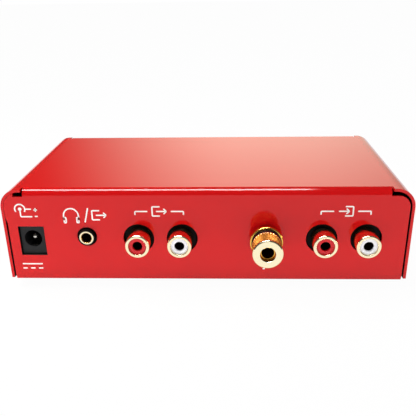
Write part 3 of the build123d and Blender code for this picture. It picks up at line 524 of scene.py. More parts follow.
def grow(tree, mesh, **values):
    """Run a tree on a mesh with its named inputs and return the plain mesh that it makes."""
    carrier = carrier_of(tree.name, mesh)
    modifier = carrier.modifiers.new(tree.name, "NODES")
    modifier.node_group = tree
    for item in tree.interface.items_tree:
        if item.in_out == "INPUT" and item.name in values:
            modifier[item.identifier] = values[item.name]
    return plain(carrier)


# Points on each rounded corner, and the gap in mm that is closed where a sweep meets itself.
fillet_points = 4
seam_gap = 0.002

lathe, given, result = new_tree("lathe", Guide="Float", Segments="Int")
# The sweep sets an outline's zero on the guide and its heights upside down, so the outline is
# first mirrored and then moved in by the guide's radius.
blank = add(lathe, "GeometryNodeTransform", {"Geometry": given["Geometry"], "Scale": (1, -1, 1)})
inward = add(lathe, "ShaderNodeMath", {0: given["Guide"], 1: -1.0}, operation="MULTIPLY")
shift = add(lathe, "ShaderNodeCombineXYZ", {"X": inward.outputs[0]})
blank = {"Geometry": blank.outputs[0], "Translation": shift.outputs[0]}
blank = add(lathe, "GeometryNodeTransform", blank)
outline = add(lathe, "GeometryNodeMeshToCurve", {0: blank.outputs[0]})
rounding = add(lathe, "GeometryNodeInputNamedAttribute", {"Name": "round"}, data_type="FLOAT")
rounded = {"Curve": outline.outputs[0], "Radius": rounding.outputs["Attribute"]}
rounded = {**rounded, "Limit Radius": True, "Count": fillet_points}
outline = add(lathe, "GeometryNodeFilletCurve", rounded, mode="POLY")
guide = {"Radius": given["Guide"], "Resolution": given["Segments"]}
guide = add(lathe, "GeometryNodeCurvePrimitiveCircle", guide)
swept = {"Curve": guide.outputs[0], "Profile Curve": outline.outputs[0]}
swept = add(lathe, "GeometryNodeCurveToMesh", swept)
welded = {"Geometry": swept.outputs[0], "Distance": seam_gap * MM}
welded = add(lathe, "GeometryNodeMergeByDistance", welded)
solid = add(lathe, "GeometryNodeRealizeInstances", {0: welded.outputs[0]})
lathe.links.new(solid.outputs[0], result[0])
print("lathe tree", len(lathe.nodes), "nodes")

# %% The setting-out tree
set_out, given, result = new_tree("set_out", Form="Object", Turn="Vector", Finish="Material")
form = add(set_out, "GeometryNodeObjectInfo", {"Object": given["Form"]}).outputs["Geometry"]
facing = add(set_out, "FunctionNodeEulerToRotation", {0: given["Turn"]})
copies = {"Points": given["Geometry"], "Instance": form, "Rotation": facing.outputs[0]}
copies = add(set_out, "GeometryNodeInstanceOnPoints", copies)
solid = add(set_out, "GeometryNodeRealizeInstances", {0: copies.outputs[0]})
painted = {"Geometry": solid.outputs[0], "Material": given["Finish"]}
painted = add(set_out, "GeometryNodeSetMaterial", painted)
set_out.links.new(painted.outputs[0], result[0])
print("setting-out tree", len(set_out.nodes), "nodes")

# %% Helpers that run them
guide_radius = 1 * MM
facing_turn = {
    "rear": (-pi / 2, 0, 0),
    "front": (pi / 2, 0, 0),
    "up": (0, 0, 0),
}


def outward(mesh):
    """Point every face of closed shells outwards."""
    work = bmesh.new()
    work.from_mesh(mesh)
    bmesh.ops.recalc_face_normals(work, faces=work.faces)
    work.to_mesh(mesh)
    work.free()
    return mesh


def turned(outline, segments=96):
    """Turn an outline of (radius, height, rounding) points in mm, from axis to axis or closed."""
    points = [Vector((radius, height, 0)) * MM for radius, height, _ in outline]
    count = len(points)
    edges = [(i, i + 1) for i in range(count - 1)]
    if outline[0][0] > 0:
        edges.append((count - 1, 0))
    mesh = bpy.data.meshes.new("outline")
    mesh.from_pydata(points, edges, [])
    roundings = mesh.attributes.new("round", "FLOAT", "POINT")
    roundings.data.foreach_set("value", [rounding * MM for _, _, rounding in outline])
    return outward(grow(lathe, mesh, Guide=guide_radius, Segments=segments))


def placed(form, places, facing, material):
    """Copies of a form, turned to face one way, at each place."""
    pattern = carrier_of("pattern", form)
    points = bpy.data.meshes.new("places")
    points.from_pydata(places, [], [])
    mesh = grow(set_out, points, Form=pattern, Turn=facing_turn[facing], Finish=material)
    bpy.data.objects.remove(pattern)
    return mesh


def fit(node, form, places, facing, material):
    """Stand copies of a form in for a CAD node."""
    mesh = placed(form, places, facing, material)
    install(f"{node}_turned", mesh, [material], body_of[node], slot_of[node], node)


def mark_bore(mesh, place, radius, reach):
    """Give the second material, the bore's painted shade, to what lies near a place's axis and short of
    a reach, in mm.
    """
    for face in mesh.polygons:
        off_axis = hypot(face.center.x - place.x, face.center.z - place.z)
        if off_axis < radius * MM and face.center.y < rear + reach * MM:
            face.material_index = 1


# %% [markdown]
# ## Gold
#
# The sockets and the post are brass under a flash of hard gold. Gold plating is a metal, so its
# base colour is its reflection and its IOR stays as it is. The fine lines of the turning tool run
# round every part; they are drawn 0.75 mm apart, far coarser than the real feed, so that they
# show. The faces are painted pale, as painted highlight. Bores and the post's stud and collar get a
# deeper gold, which is painted shade.

# %% Gold plate
line_spacing = 0.754
# The wave texture turns this many radians over each unit of its scaled place.
wave_rate = 20
line_scale = 2 * pi / (wave_rate * line_spacing * MM)
smear_size = 1.5


def add_turning(material, depth, smooth, rough):
    """Lines round the Y axis, as a lathe's feed leaves them, with depth in mm."""
    tree = material.node_tree
    lines = {"Vector": on_piece(tree), "Scale": line_scale, "Distortion": 0.6, "Detail": 1.0}
    lines = add(tree, "ShaderNodeTexWave", lines, bands_direction="Y").outputs["Fac"]
    smear = noise_of(tree, smear_size, detail=2.0)
    relieve(material, lines, depth, smear, noise_span, smooth, rough, strength=0.5)


# The turned gold is painted paler than gold plate is, as painted highlight; the deeper copy is painted
# shade.
gold_painted_highlight = "#FFF0CA"
gold = finish("turned_gold_plate", gold_painted_highlight, {"Metallic": 1.0, "Specular Tint": linear("#F2C468")})
add_turning(gold, depth=0.004, smooth=0.10, rough=0.20)
shade_gold_constants = {"Metallic": 1.0, "Specular Tint": linear("#E0A040")}
gold_in_painted_shade = finish("burnished_gold_plate", "#F2BE5C", shade_gold_constants)
add_turning(gold_in_painted_shade, depth=0.004, smooth=0.14, rough=0.26)

# %% [markdown]
# ## Phono sockets
#
# Each socket is a rolled barrel round a coloured ring of moulded nylon, with the spring contact
# for the plug's pin deep in the hole: red is the right channel and white the left. The barrel
# passes through a wide hole, and the black body behind closes it.

# %% Phono sockets
phono_back, phono_reach = -5.0, 7.2
phono_radius, phono_bore = 4.15, 3.05
root_radius, root_reach = 3.9, 0.4
barrel = turned(
    [
        (phono_bore, phono_back, 0),
        (root_radius, phono_back, 0),
        (root_radius, root_reach, 0.05),
        (phono_radius, root_reach, 0.05),
        (phono_radius, phono_reach, 0.42),
        (phono_bore, phono_reach, 0.2),
    ]
)
ring_gap = 0.02
ring_face, ring_lip = phono_reach - 0.6, 0.8
ring_hole, ring_bore = 1.7, 2.12
ring = turned(
    [
        (ring_bore, phono_back, 0),
        (phono_bore - ring_gap, phono_back, 0),
        (phono_bore - ring_gap, ring_face, 0.12),
        (ring_hole, ring_face, 0.18),
        (ring_hole, ring_face - ring_lip, 0),
        (ring_bore, ring_face - ring_lip, 0),
    ]
)
# Nylon's skin is a little waxy, so its gloss is soft. The white rings are glossier.
red_nylon = finish("moulded_red_nylon", "#D00A18", {"IOR": 1.45})
add_grain(red_nylon, size=0.6, depth=0.01, smooth=0.24, rough=0.34)
glossier = {"IOR": 1.53, "Coat Weight": 0.3, "Coat Roughness": 0.1}
white_nylon = finish("moulded_white_nylon", "#ECECF0", glossier)
add_grain(white_nylon, size=0.6, depth=0.01, smooth=0.24, rough=0.34)
for jack in ("output_jack", "input_jack"):
    pair = on_rear(f"{jack}_insulator_red", f"{jack}_insulator_white")
    fit(f"{jack}_barrels", barrel.copy(), pair, "rear", gold)
    fit(f"{jack}_insulator_red", ring.copy(), pair[:1], "rear", red_nylon)
    fit(f"{jack}_insulator_white", ring.copy(), pair[1:], "rear", white_nylon)

# %% Black mouldings behind the panel
# Glass-filled polyester comes out of its mould matt and hardly mirrors anything. Its real black
# is deepened further as painted shade, for the holes behind the panel.
moulding = finish("moulded_black_polyester", "#070707", {"IOR": 1.4, "Specular IOR Level": 0.15})
add_grain(moulding, size=0.35, depth=0.012, smooth=0.45, rough=0.6)
for node in ("output_jack_body", "input_jack_body", "headphone_jack_body"):
    dress(node, moulding, edge=0.15)

# %% [markdown]
# ## Headphone socket
#
# A gold ring sits in the black nose of the socket and stands just proud of the panel. Its bore
# gets the deeper gold, as painted shade.

# %% Headphone socket
headphone_back, headphone_reach = -3.7, 1.3
headphone_bore, headphone_radius = 1.8, 2.57
headphone_ring = turned(
    [
        (headphone_bore, headphone_back, 0),
        (headphone_radius, headphone_back, 0),
        (headphone_radius, headphone_reach, 0.2),
        (headphone_bore, headphone_reach, 0.25),
    ]
)
mesh = placed(headphone_ring, on_rear("headphone_jack_ring"), "rear", gold)
# The bore gets the deeper gold: painted shade.
mark_bore(mesh, middle("headphone_jack_ring"), radius=2.0, reach=headphone_reach)
finishes = [gold, gold_in_painted_shade]
install("headphone_jack_ring_turned", mesh, finishes, "case", "gold_plate", "headphone_jack_ring")

# %% [markdown]
# ## Power socket
#
# The power socket is a plain black block with its bore, its centre pin and a sprung contact
# under it. Its nylon is greyer than the shadow gap round it. The metal is tin plate: pale,
# nearly white, and drawn, so its lines blur what it mirrors.

# %% Power socket
grey_moulding = finish("moulded_grey_black_nylon", "#1E1E1F", {"IOR": 1.35})
add_grain(grey_moulding, size=0.4, depth=0.012, smooth=0.42, rough=0.55)
dress("power_jack_body", grey_moulding, edge=0.12)
tin = finish("bright_tin_plate", "#D9D6CE", {"Metallic": 1.0})
add_turning(tin, depth=0.003, smooth=0.15, rough=0.28)
pin_radius, pin_back, pin_tip = 1.0, -10.6, -2.4
power_pin = turned(
    [
        (0, pin_back, 0),
        (pin_radius, pin_back, 0),
        (pin_radius, pin_tip, 0.9),
        (0, pin_tip, 0),
    ],
    segments=48,
)
fit("power_jack_pin", power_pin, on_rear("power_jack_pin"), "rear", tin)
dress("power_jack_spring", tin, edge=0.05)

# %% [markdown]
# ## Ground post
#
# The ground wire of a record player is held by this post. A black washer keeps it off the paint,
# the collar and the threaded stud are one turned piece, and the knurled hood screws down on the
# wire. Its hole takes a 4 mm plug, which goes on into the stud.
#
# Knurling is rolled: two wheels press crossing grooves and leave rows of little pyramids. The
# tree starts from the turned hood, whose knurled length has one row of points for each half
# pyramid, and sinks every second point like the dark squares of a chessboard. Cut along their
# shorter diagonals, the squares between them become the pyramids' flanks. The pyramids are
# drawn much larger than real ones, so that they show.
#
# The tree also leaves two marks on the points for the finish to read: which were rolled, and
# which of these lie in a valley.

# %% The knurling tree
# Only points within this of the hood's radius, in mm, are pressed: the bore's are left alone.
knurled_skin = 0.5
half_row = 0.5

knurl, given, result = new_tree(
    "knurl",
    Start="Float",
    End="Float",
    Rows="Int",
    Columns="Int",
    Depth="Float",
    Radius="Float",
)
place = add(knurl, "GeometryNodeInputPosition").outputs[0]
along = add(knurl, "ShaderNodeSeparateXYZ", {0: place}).outputs
angle = add(knurl, "ShaderNodeMath", {0: along["Y"], 1: along["X"]}, operation="ARCTAN2")
column = {0: angle.outputs[0], 1: given["Columns"]}
column = add(knurl, "ShaderNodeMath", column, operation="MULTIPLY")
column = add(knurl, "ShaderNodeMath", {0: column.outputs[0], 1: 2 * pi}, operation="DIVIDE")
row = {"Value": along["Z"], "From Min": given["Start"], "From Max": given["End"]}
row = {**row, "To Min": 0.0, "To Max": given["Rows"]}
row = add(knurl, "ShaderNodeMapRange", row, clamp=False).outputs["Result"]
square = add(knurl, "ShaderNodeMath", {0: column.outputs[0], 1: row}, operation="ADD")
square = add(knurl, "ShaderNodeMath", {0: square.outputs[0]}, operation="ROUND")
square = add(knurl, "ShaderNodeMath", {0: square.outputs[0], 1: 2.0}, operation="FLOORED_MODULO")
across = add(knurl, "ShaderNodeVectorMath", {0: place, 1: (1, 1, 0)}, operation="MULTIPLY").outputs[0]
radius = add(knurl, "ShaderNodeVectorMath", {0: across}, operation="LENGTH").outputs["Value"]
sunk = add(knurl, "ShaderNodeMath", {0: given["Depth"], 1: -1.0}, operation="MULTIPLY")
sunk = add(knurl, "ShaderNodeMath", {0: sunk.outputs[0], 1: radius}, operation="DIVIDE")
inward = {0: across, "Scale": sunk.outputs[0]}
inward = add(knurl, "ShaderNodeVectorMath", inward, operation="SCALE")
after = add(knurl, "ShaderNodeMath", {0: row, 1: half_row}, operation="GREATER_THAN")
last = add(knurl, "ShaderNodeMath", {0: given["Rows"], 1: half_row}, operation="SUBTRACT")
before = add(knurl, "ShaderNodeMath", {0: row, 1: last.outputs[0]}, operation="LESS_THAN")
inner = {0: given["Radius"], 1: knurled_skin * MM}
inner = add(knurl, "ShaderNodeMath", inner, operation="SUBTRACT")
outside = add(knurl, "ShaderNodeMath", {0: radius, 1: inner.outputs[0]}, operation="GREATER_THAN")
between = {0: after.outputs[0], 1: before.outputs[0]}
between = add(knurl, "ShaderNodeMath", between, operation="MULTIPLY")
part_rolled = {0: between.outputs[0], 1: outside.outputs[0]}
part_rolled = add(knurl, "ShaderNodeMath", part_rolled, operation="MULTIPLY")
chosen = {0: part_rolled.outputs[0], 1: square.outputs[0]}
chosen = add(knurl, "ShaderNodeMath", chosen, operation="MULTIPLY")
pressed = {"Selection": chosen.outputs[0], "Offset": inward.outputs[0]}
pressed = {"Geometry": given["Geometry"], **pressed}
pressed = add(knurl, "GeometryNodeSetPosition", pressed)
marked = {0: pressed.outputs[0]}
marked = add(knurl, "GeometryNodeTriangulate", marked, quad_method="SHORTEST_DIAGONAL")
store = "GeometryNodeStoreNamedAttribute"
for name, points in (("rolled", part_rolled), ("valley", chosen)):
    mark = {"Geometry": marked.outputs[0], "Name": name, "Value": points.outputs[0]}
    marked = add(knurl, store, mark, data_type="FLOAT", domain="POINT")
knurl.links.new(marked.outputs[0], result[0])
print("knurling tree", len(knurl.nodes), "nodes")

# %% [markdown]
# The rolled length is painted a deeper, warmer gold than the turned one, and dark brown in its
# valleys: painted shade. The finish blends them by the marks that the tree left.

# %% Hood
hood_radius, hood_bore = 5.05, 2.61
hood_back, hood_front = 4.2, 13.6
neck_radius, neck_front = 3.9, 6.05
seat_radius, seat_front = 4.25, 4.5
face_radius, chamfer_back = 4.72, 13.2
knurl_start, knurl_end = 6.4, 12.9
knurl_rows, knurl_columns = 13, 64
knurl_depth = 0.26
row_length = (knurl_end - knurl_start) / knurl_rows
rows = [knurl_start + row_length * i for i in range(knurl_rows + 1)]
hood = turned(
    [
        (hood_bore, hood_back, 0),
        (seat_radius, hood_back, 0),
        (seat_radius, seat_front, 0),
        (neck_radius, seat_front, 0),
        (neck_radius, neck_front, 0),
        (hood_radius, neck_front, 0.12),
        *[(hood_radius, height, 0) for height in rows],
        (hood_radius, chamfer_back, 0),
        (face_radius, hood_front, 0.15),
        (hood_bore, hood_front, 0.12),
    ],
    segments=knurl_columns,
)
hood = grow(
    knurl,
    hood,
    Start=knurl_start * MM,
    End=knurl_end * MM,
    Rows=knurl_rows,
    Columns=knurl_columns,
    Depth=knurl_depth * MM,
    Radius=hood_radius * MM,
)

# %% The hood's finish
# Painted light: the smooth gold is pale as painted highlight, the crests deeper and the valleys dark
# brown as painted shade.
smooth_gold_painted_highlight, crest_gold_painted_shade, valley_painted_shade = "#FFF2CC", "#F4AC52", "#7C3C0A"
rolled_roughness = 0.5
tinted = {"Metallic": 1.0, "Specular Tint": linear("#D09050")}
knurled_gold = finish("rolled_knurl_gold_plate", smooth_gold_painted_highlight, tinted)
add_turning(knurled_gold, depth=0.004, smooth=0.10, rough=0.20)
tree = knurled_gold.node_tree
shader = tree.nodes["Principled BSDF"]
rolled = add(tree, "ShaderNodeAttribute", attribute_name="rolled").outputs["Fac"]
valley = add(tree, "ShaderNodeAttribute", attribute_name="valley").outputs["Fac"]
depths = {"Factor": valley, 6: linear(crest_gold_painted_shade), 7: linear(valley_painted_shade)}
depths = add(tree, "ShaderNodeMix", depths, data_type="RGBA")
tones = {"Factor": rolled, 6: linear(smooth_gold_painted_highlight), 7: depths.outputs[2]}
tones = add(tree, "ShaderNodeMix", tones, data_type="RGBA")
tree.links.new(tones.outputs[2], shader.inputs["Base Color"])
even = shader.inputs["Roughness"].links[0].from_socket
matt = add(tree, "ShaderNodeMix", {"Factor": rolled, 2: even, 3: rolled_roughness})
tree.links.new(matt.outputs[0], shader.inputs["Roughness"])
mesh = placed(hood, on_rear("ground_post_hood"), "rear", knurled_gold)
# The hood's bore gets the deeper gold: painted shade.
mark_bore(mesh, middle("ground_post_hood"), radius=2.7, reach=13.5)
finishes = [knurled_gold, gold_in_painted_shade]
hood_name = "ground_post_hood_knurled"
# The pyramids' flanks meet at shallow angles, so the hood is creased at fewer degrees.
install(hood_name, mesh, finishes, "post_hood", "gold_plate", "ground_post_hood", crease=20)

# %% Stud, collar, washer and ring
stud_back, stud_front = -5.7, 12.0
shank_radius, stud_radius = 2.0, 2.55
plug_bore, plug_bottom = 2.05, 4.0
collar_radius, collar_front = 5.7, 4.1
washer_bore, washer_radius, washer_front = 2.1, 4.4, 2.4
stud = turned(
    [
        (0, stud_back, 0),
        (shank_radius, stud_back, 0.3),
        (shank_radius, washer_front, 0),
        (collar_radius, washer_front, 0.3),
        (collar_radius, collar_front, 0.4),
        (stud_radius, collar_front, 0),
        (stud_radius, stud_front, 0.15),
        (plug_bore, stud_front, 0.2),
        (plug_bore, plug_bottom, 0),
        (0, plug_bottom, 0),
    ]
)
# Inside the plug's hole the brass is painted brown, as painted shade.
bore_brass_painted_shade = finish("tarnished_brass", "#6A3A1A", {"Metallic": 1.0})
add_grain(bore_brass_painted_shade, size=0.6, depth=0.006, smooth=0.4, rough=0.6)
# The stud and its collar are the deeper gold, and the plug's hole brown: painted shade.
mesh = placed(stud, on_rear("ground_post_spacer"), "rear", gold_in_painted_shade)
mark_bore(mesh, middle("ground_post_spacer"), radius=2.1, reach=11.7)
install("ground_post_stud_turned", mesh, [gold_in_painted_shade, bore_brass_painted_shade], "case", "gold_plate", "ground_post_stud")
washer = turned(
    [
        (washer_bore, 0, 0),
        (washer_radius, 0, 0),
        (washer_radius, washer_front, 0.15),
        (washer_bore, washer_front, 0),
    ]
)
fit("ground_post_spacer", washer, on_rear("ground_post_spacer"), "rear", moulding)
post_ring_radius, post_ring_bore, post_ring_seat = 5.2, 4.0, 4.35
post_ring_back, post_ring_step, post_ring_front = 4.35, 4.6, 5.95
post_ring = turned(
    [
        (post_ring_seat, post_ring_back, 0),
        (post_ring_radius, post_ring_back, 0.2),
        (post_ring_radius, post_ring_front, 0.2),
        (post_ring_bore, post_ring_front, 0),
        (post_ring_bore, post_ring_step, 0),
        (post_ring_seat, post_ring_step, 0),
    ]
)
fit("ground_post_ring", post_ring, on_rear("ground_post_ring"), "rear", moulding)

# %% [markdown]
# ## Feet and screws
#
# Each foot is a moulded rubber stud, wider where it is stuck on. Rubber is dull, and the fine
# pits of its mould leave it almost without gloss. The screws are zinc plated: a cool grey with a
# soft sheen.

# %% Feet
feet_low, feet_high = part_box("rubber_feet")
foot_height = (feet_high.z - feet_low.z) / MM
foot_wide, foot_narrow, foot_taper = 5.0, 4.2, 0.8
foot = turned(
    [
        (0, 0, 0),
        (foot_narrow, 0, 0.3),
        (foot_wide, foot_taper, 0.4),
        (foot_wide, foot_height, 0),
        (0, foot_height, 0),
    ],
    segments=64,
)
foot_places = [
    Vector((x, y, feet_low.z))
    for x in (feet_low.x + foot_wide * MM, feet_high.x - foot_wide * MM)
    for y in (feet_low.y + foot_wide * MM, feet_high.y - foot_wide * MM)
]
rubber = finish("moulded_black_rubber", "#141414", {"IOR": 1.52})
add_grain(rubber, size=0.3, depth=0.03, smooth=0.6, rough=0.75)
fit("rubber_feet", foot, foot_places, "up", rubber)

# %% Screws
zinc = finish("zinc_plated_steel", "#C9CBCC", {"Metallic": 1.0})
add_grain(zinc, size=0.8, depth=0.004, smooth=0.22, rough=0.36)
dress("base_screws", zinc, edge=0.06)

# %% [markdown]
# ## Screen print
#
# White epoxy ink is pressed through a mesh and lies about 0.03 mm proud. It dries with a soft
# satin face. A mark is drawn as strokes: paths in panel millimetres, u to the right as a reader
# of that panel sees it, and v up from the sides' lower edge. One tree rounds each path's
# corners, sweeps a thin rectangle along it and narrows it over its last half width, by the
# circle's formula, so that strokes end round like a pen's.

# %% The stroke tree
screen, given, result = new_tree(
    "screen_print",
    Width="Float",
    Thickness="Float",
    Corner="Float",
    Step="Float",
    Turn="Vector",
    Place="Vector",
    Finish="Material",
)
path = add(screen, "GeometryNodeMeshToCurve", {0: given["Geometry"]})
rounded = {"Curve": path.outputs[0], "Radius": given["Corner"]}
rounded = {**rounded, "Limit Radius": True, "Count": fillet_points}
path = add(screen, "GeometryNodeFilletCurve", rounded, mode="POLY")
stepped = {"Curve": path.outputs[0], "Length": given["Step"]}
path = add(screen, "GeometryNodeResampleCurve", stepped, mode="LENGTH")
gone = add(screen, "GeometryNodeSplineParameter").outputs["Length"]
whole = add(screen, "GeometryNodeSplineLength").outputs["Length"]
left = add(screen, "ShaderNodeMath", {0: whole, 1: gone}, operation="SUBTRACT")
nearer = add(screen, "ShaderNodeMath", {0: gone, 1: left.outputs[0]}, operation="MINIMUM")
half = add(screen, "ShaderNodeMath", {0: given["Width"], 1: 0.5}, operation="MULTIPLY")
share = {0: nearer.outputs[0], 1: half.outputs[0]}
share = add(screen, "ShaderNodeMath", share, operation="DIVIDE", use_clamp=True)
short = add(screen, "ShaderNodeMath", {0: 1.0, 1: share.outputs[0]}, operation="SUBTRACT")
square = {0: short.outputs[0], 1: short.outputs[0]}
square = add(screen, "ShaderNodeMath", square, operation="MULTIPLY")
under = add(screen, "ShaderNodeMath", {0: 1.0, 1: square.outputs[0]}, operation="SUBTRACT")
wide = add(screen, "ShaderNodeMath", {0: under.outputs[0]}, operation="SQRT")
# A closed path has no ends, so it keeps its full width all the way.
closed = add(screen, "GeometryNodeInputSplineCyclic").outputs[0]
wide = add(screen, "ShaderNodeMath", {0: wide.outputs[0], 1: closed}, operation="MAXIMUM")
section = {"Width": given["Width"], "Height": given["Thickness"]}
section = add(screen, "GeometryNodeCurvePrimitiveQuadrilateral", section)
swept = {"Curve": path.outputs[0], "Profile Curve": section.outputs[0], "Scale": wide.outputs[0]}
swept = add(screen, "GeometryNodeCurveToMesh", swept)
welded = {"Geometry": swept.outputs[0], "Distance": seam_gap * MM}
welded = add(screen, "GeometryNodeMergeByDistance", welded)
facing = add(screen, "FunctionNodeEulerToRotation", {0: given["Turn"]})
laid = {"Geometry": welded.outputs[0], "Translation": given["Place"], "Rotation": facing.outputs[0]}
laid = add(screen, "GeometryNodeTransform", laid)
solid = add(screen, "GeometryNodeRealizeInstances", {0: laid.outputs[0]})
inked = {"Geometry": solid.outputs[0], "Material": given["Finish"]}
inked = add(screen, "GeometryNodeSetMaterial", inked)
screen.links.new(inked.outputs[0], result[0])
print("stroke tree", len(screen.nodes), "nodes")

# %% Helpers for print
stroke_width = 0.48
stroke_step = 0.09
# Half of this lies under the paint's face, so that no gap shows behind the ink.
ink_thickness = 0.06
print_corner = 0.3
panel_turn = {"rear": (pi / 2, 0, pi), "front": (pi / 2, 0, 0)}
panel_origin = {"rear": Vector((0, rear, sill)), "front": Vector((0, front, sill))}
ink = finish("white_screen_ink", "#F4F2EE", {"IOR": 1.5})
add_grain(ink, size=0.2, depth=0.004, smooth=0.4, rough=0.5)


def arc(u, v, radius, start, end, count=12):
    """Points along an arc, in mm and degrees."""
    turns = [radians(start + (end - start) * i / count) for i in range(count + 1)]
    return [(u + radius * cos(turn), v + radius * sin(turn)) for turn in turns]


def box_path(u, v, width, height):
    """The corners of a rectangle about its centre."""
    return [(u + width * a / 2, v + height * b / 2) for a, b in ((-1, -1), (1, -1), (1, 1), (-1, 1))]


def printed(panel, open_paths, closed_paths=(), width=stroke_width):
    """The mesh of printed strokes on one panel."""
    points, edges = [], []
    for paths, close in ((open_paths, False), (closed_paths, True)):
        for path in paths:
            first = len(points)
            points += [Vector((u, v, 0)) * MM for u, v in path]
            last = len(points) - 1
            edges += [(i, i + 1) for i in range(first, last)]
            if close:
                edges.append((last, first))
    mesh = bpy.data.meshes.new("paths")
    mesh.from_pydata(points, edges, [])
    strokes = grow(
        screen,
        mesh,
        Width=width * MM,
        Thickness=ink_thickness * MM,
        Corner=print_corner * MM,
        Step=stroke_step * MM,
        Turn=panel_turn[panel],
        Place=panel_origin[panel],
        Finish=ink,
    )
    return outward(strokes)


def joined(meshes):
    """One mesh out of several."""
    work = bmesh.new()
    for mesh in meshes:
        work.from_mesh(mesh)
    whole = bpy.data.meshes.new("joined")
    work.to_mesh(whole)
    work.free()
    return whole


def arrow(u, v, length, head):
    """Strokes of an arrow that points right, about its centre."""
    tip = u + length / 2
    barbs = [(tip - head, v + head), (tip, v), (tip - head, v - head)]
    return [[(u - length / 2, v), (tip, v)], barbs]


def dot(panel, u, v, radius):
    """A printed disc."""
    proud = ink_thickness / 2
    disc = turned([(0, 0, 0), (radius, 0, 0), (radius, proud, 0), (0, proud, 0)], segments=32)
    side = -1 if panel == "rear" else 1
    place = panel_origin[panel] + Vector((side * u, 0, v)) * MM
    return placed(disc, [place], panel, ink)


# %% [markdown]
# The connector panel carries only signs that are common to such gear: the polarity and the kind
# of the supply over and under its socket, headphones, an arrow out of a box over the outputs, an
# arrow into a box over the inputs, and an earth sign at the post. Their places are in panel
# millimetres, each over or under the socket that it names.

# %% Marks for the sockets
mark_height, mark_wall, mark_lip = 3.4, 2.4, 0.3
mark_arrow, mark_head, mark_shift = 3.6, 1.0, 0.7


def way_mark(u, v, inwards):
    """An arrow out of a box, or into one when inwards, about its centre."""
    half = mark_height / 2
    side = 1 if inwards else -1
    mouth, back = u - mark_lip * side, u + mark_wall * side
    wall = [(mouth, v - half), (back, v - half), (back, v + half), (mouth, v + half)]
    return [wall, *arrow(u - mark_shift * side, v, mark_arrow, mark_head)]


bracket_reach, bracket_gap, bracket_drop = 8.4, 4.0, 1.3


def bracket(u, v):
    """The two halves of a bracket over a pair of sockets, with room for a mark between them."""
    halves = []
    for side in (-1, 1):
        end, inner = u + side * bracket_reach, u + side * bracket_gap
        halves.append([(end, v - bracket_drop), (end, v), (inner, v)])
    return halves


output_u, input_u = -15.8, 48.0
legend_v = 25.7
line_mark_u, line_mark_v = -36.8, 24.3
socket_marks = [
    *way_mark(line_mark_u, line_mark_v, inwards=False),
    *bracket(output_u, legend_v),
    *way_mark(output_u, legend_v, inwards=False),
    *bracket(input_u, legend_v),
    *way_mark(input_u, legend_v, inwards=True),
]
print(len(socket_marks), "strokes mark the ways in and out")

# %% Signs of the supply
# The polarity sign: a dot for the pin in a ring for the shell, each led out to its sign.
supply_u, supply_v, supply_dot = -64.3, 26.6, 0.62
shell_radius, shell_lead = 1.8, 4.0
pin_lead_v, pin_lead = 23.8, 4.1
plus_u, plus_v, plus_half = -58.9, 26.3, 0.7
minus_u, minus_v, minus_half = -58.85, 23.9, 0.55
polarity = [
    arc(supply_u, supply_v, shell_radius, -35, 215),
    [(supply_u + shell_radius, supply_v), (supply_u + shell_lead, supply_v)],
    [(supply_u, supply_v), (supply_u, pin_lead_v), (supply_u + pin_lead, pin_lead_v)],
    [(plus_u - plus_half, plus_v), (plus_u + plus_half, plus_v)],
    [(plus_u, plus_v - plus_half), (plus_u, plus_v + plus_half)],
    [(minus_u - minus_half, minus_v), (minus_u + minus_half, minus_v)],
]

# The sign for direct current: a line over three dashes.
direct_u, direct_v, dash_v = -66.4, 5.5, 3.8
dash_length, dash_pitch, dash_count = 1.7, 2.85, 3
dash_starts = [direct_u + dash_pitch * i for i in range(dash_count)]
direct = [
    [(direct_u, direct_v), (dash_starts[-1] + dash_length, direct_v)],
    *[[(start, dash_v), (start + dash_length, dash_v)] for start in dash_starts],
]
print(len(polarity) + len(direct), "strokes mark the supply")

# %% Headphones and earth
headphone_u, band_v, band_radius, band_end = -46.6, 24.2, 2.6, 22.2
cup_out, cup_v, cup_width, cup_height = 2.25, 22.5, 0.7, 2.0
band = [
    (headphone_u - band_radius, band_end),
    *arc(headphone_u, band_v, band_radius, 180, 0),
    (headphone_u + band_radius, band_end),
]
cups = [
    box_path(headphone_u + side * cup_out, cup_v, cup_width, cup_height)
    for side in (-1, 1)
]
# The slash stands between the two uses of this socket: headphones, or a line out.
slash = [(-41.9, 21.6), (-40.5, 27.0)]

earth_u, earth_v, earth_lead = 20.6, 5.6, 1.6
# Each bar of the earth sign: half its length, and how far it lies below the first.
earth_bars = ((1.7, 0), (1.1, 0.9), (0.45, 1.8))
earth = [
    [(earth_u, earth_v + earth_lead), (earth_u, earth_v)],
    *[
        [(earth_u - half, earth_v - drop), (earth_u + half, earth_v - drop)]
        for half, drop in earth_bars
    ],
]

# %% Connector panel's print
marks = [*polarity, *direct, band, slash, *socket_marks, *earth]
strokes = printed("rear", marks, cups)
rear_print = joined([strokes, dot("rear", supply_u, supply_v, supply_dot)])
install("connector_panel_print", rear_print, [ink], "case", "white_moulding")

# %% [markdown]
# ## Controls
#
# The control panel has two knobs, a tilting lever and a lamp. The knobs are black phenolic, which
# moulds to a half gloss, with a fluted grip and a spun aluminium cap. The spinning tool leaves
# circles round each knob's own axis, so the two caps' finishes differ in where their circles are
# centred. The circles are as far apart as the lines on the gold, so that they show.

# %% Knobs
phenolic = finish("moulded_black_phenolic", "#161617", {"IOR": 1.6})
add_grain(phenolic, size=0.4, depth=0.008, smooth=0.3, rough=0.42)


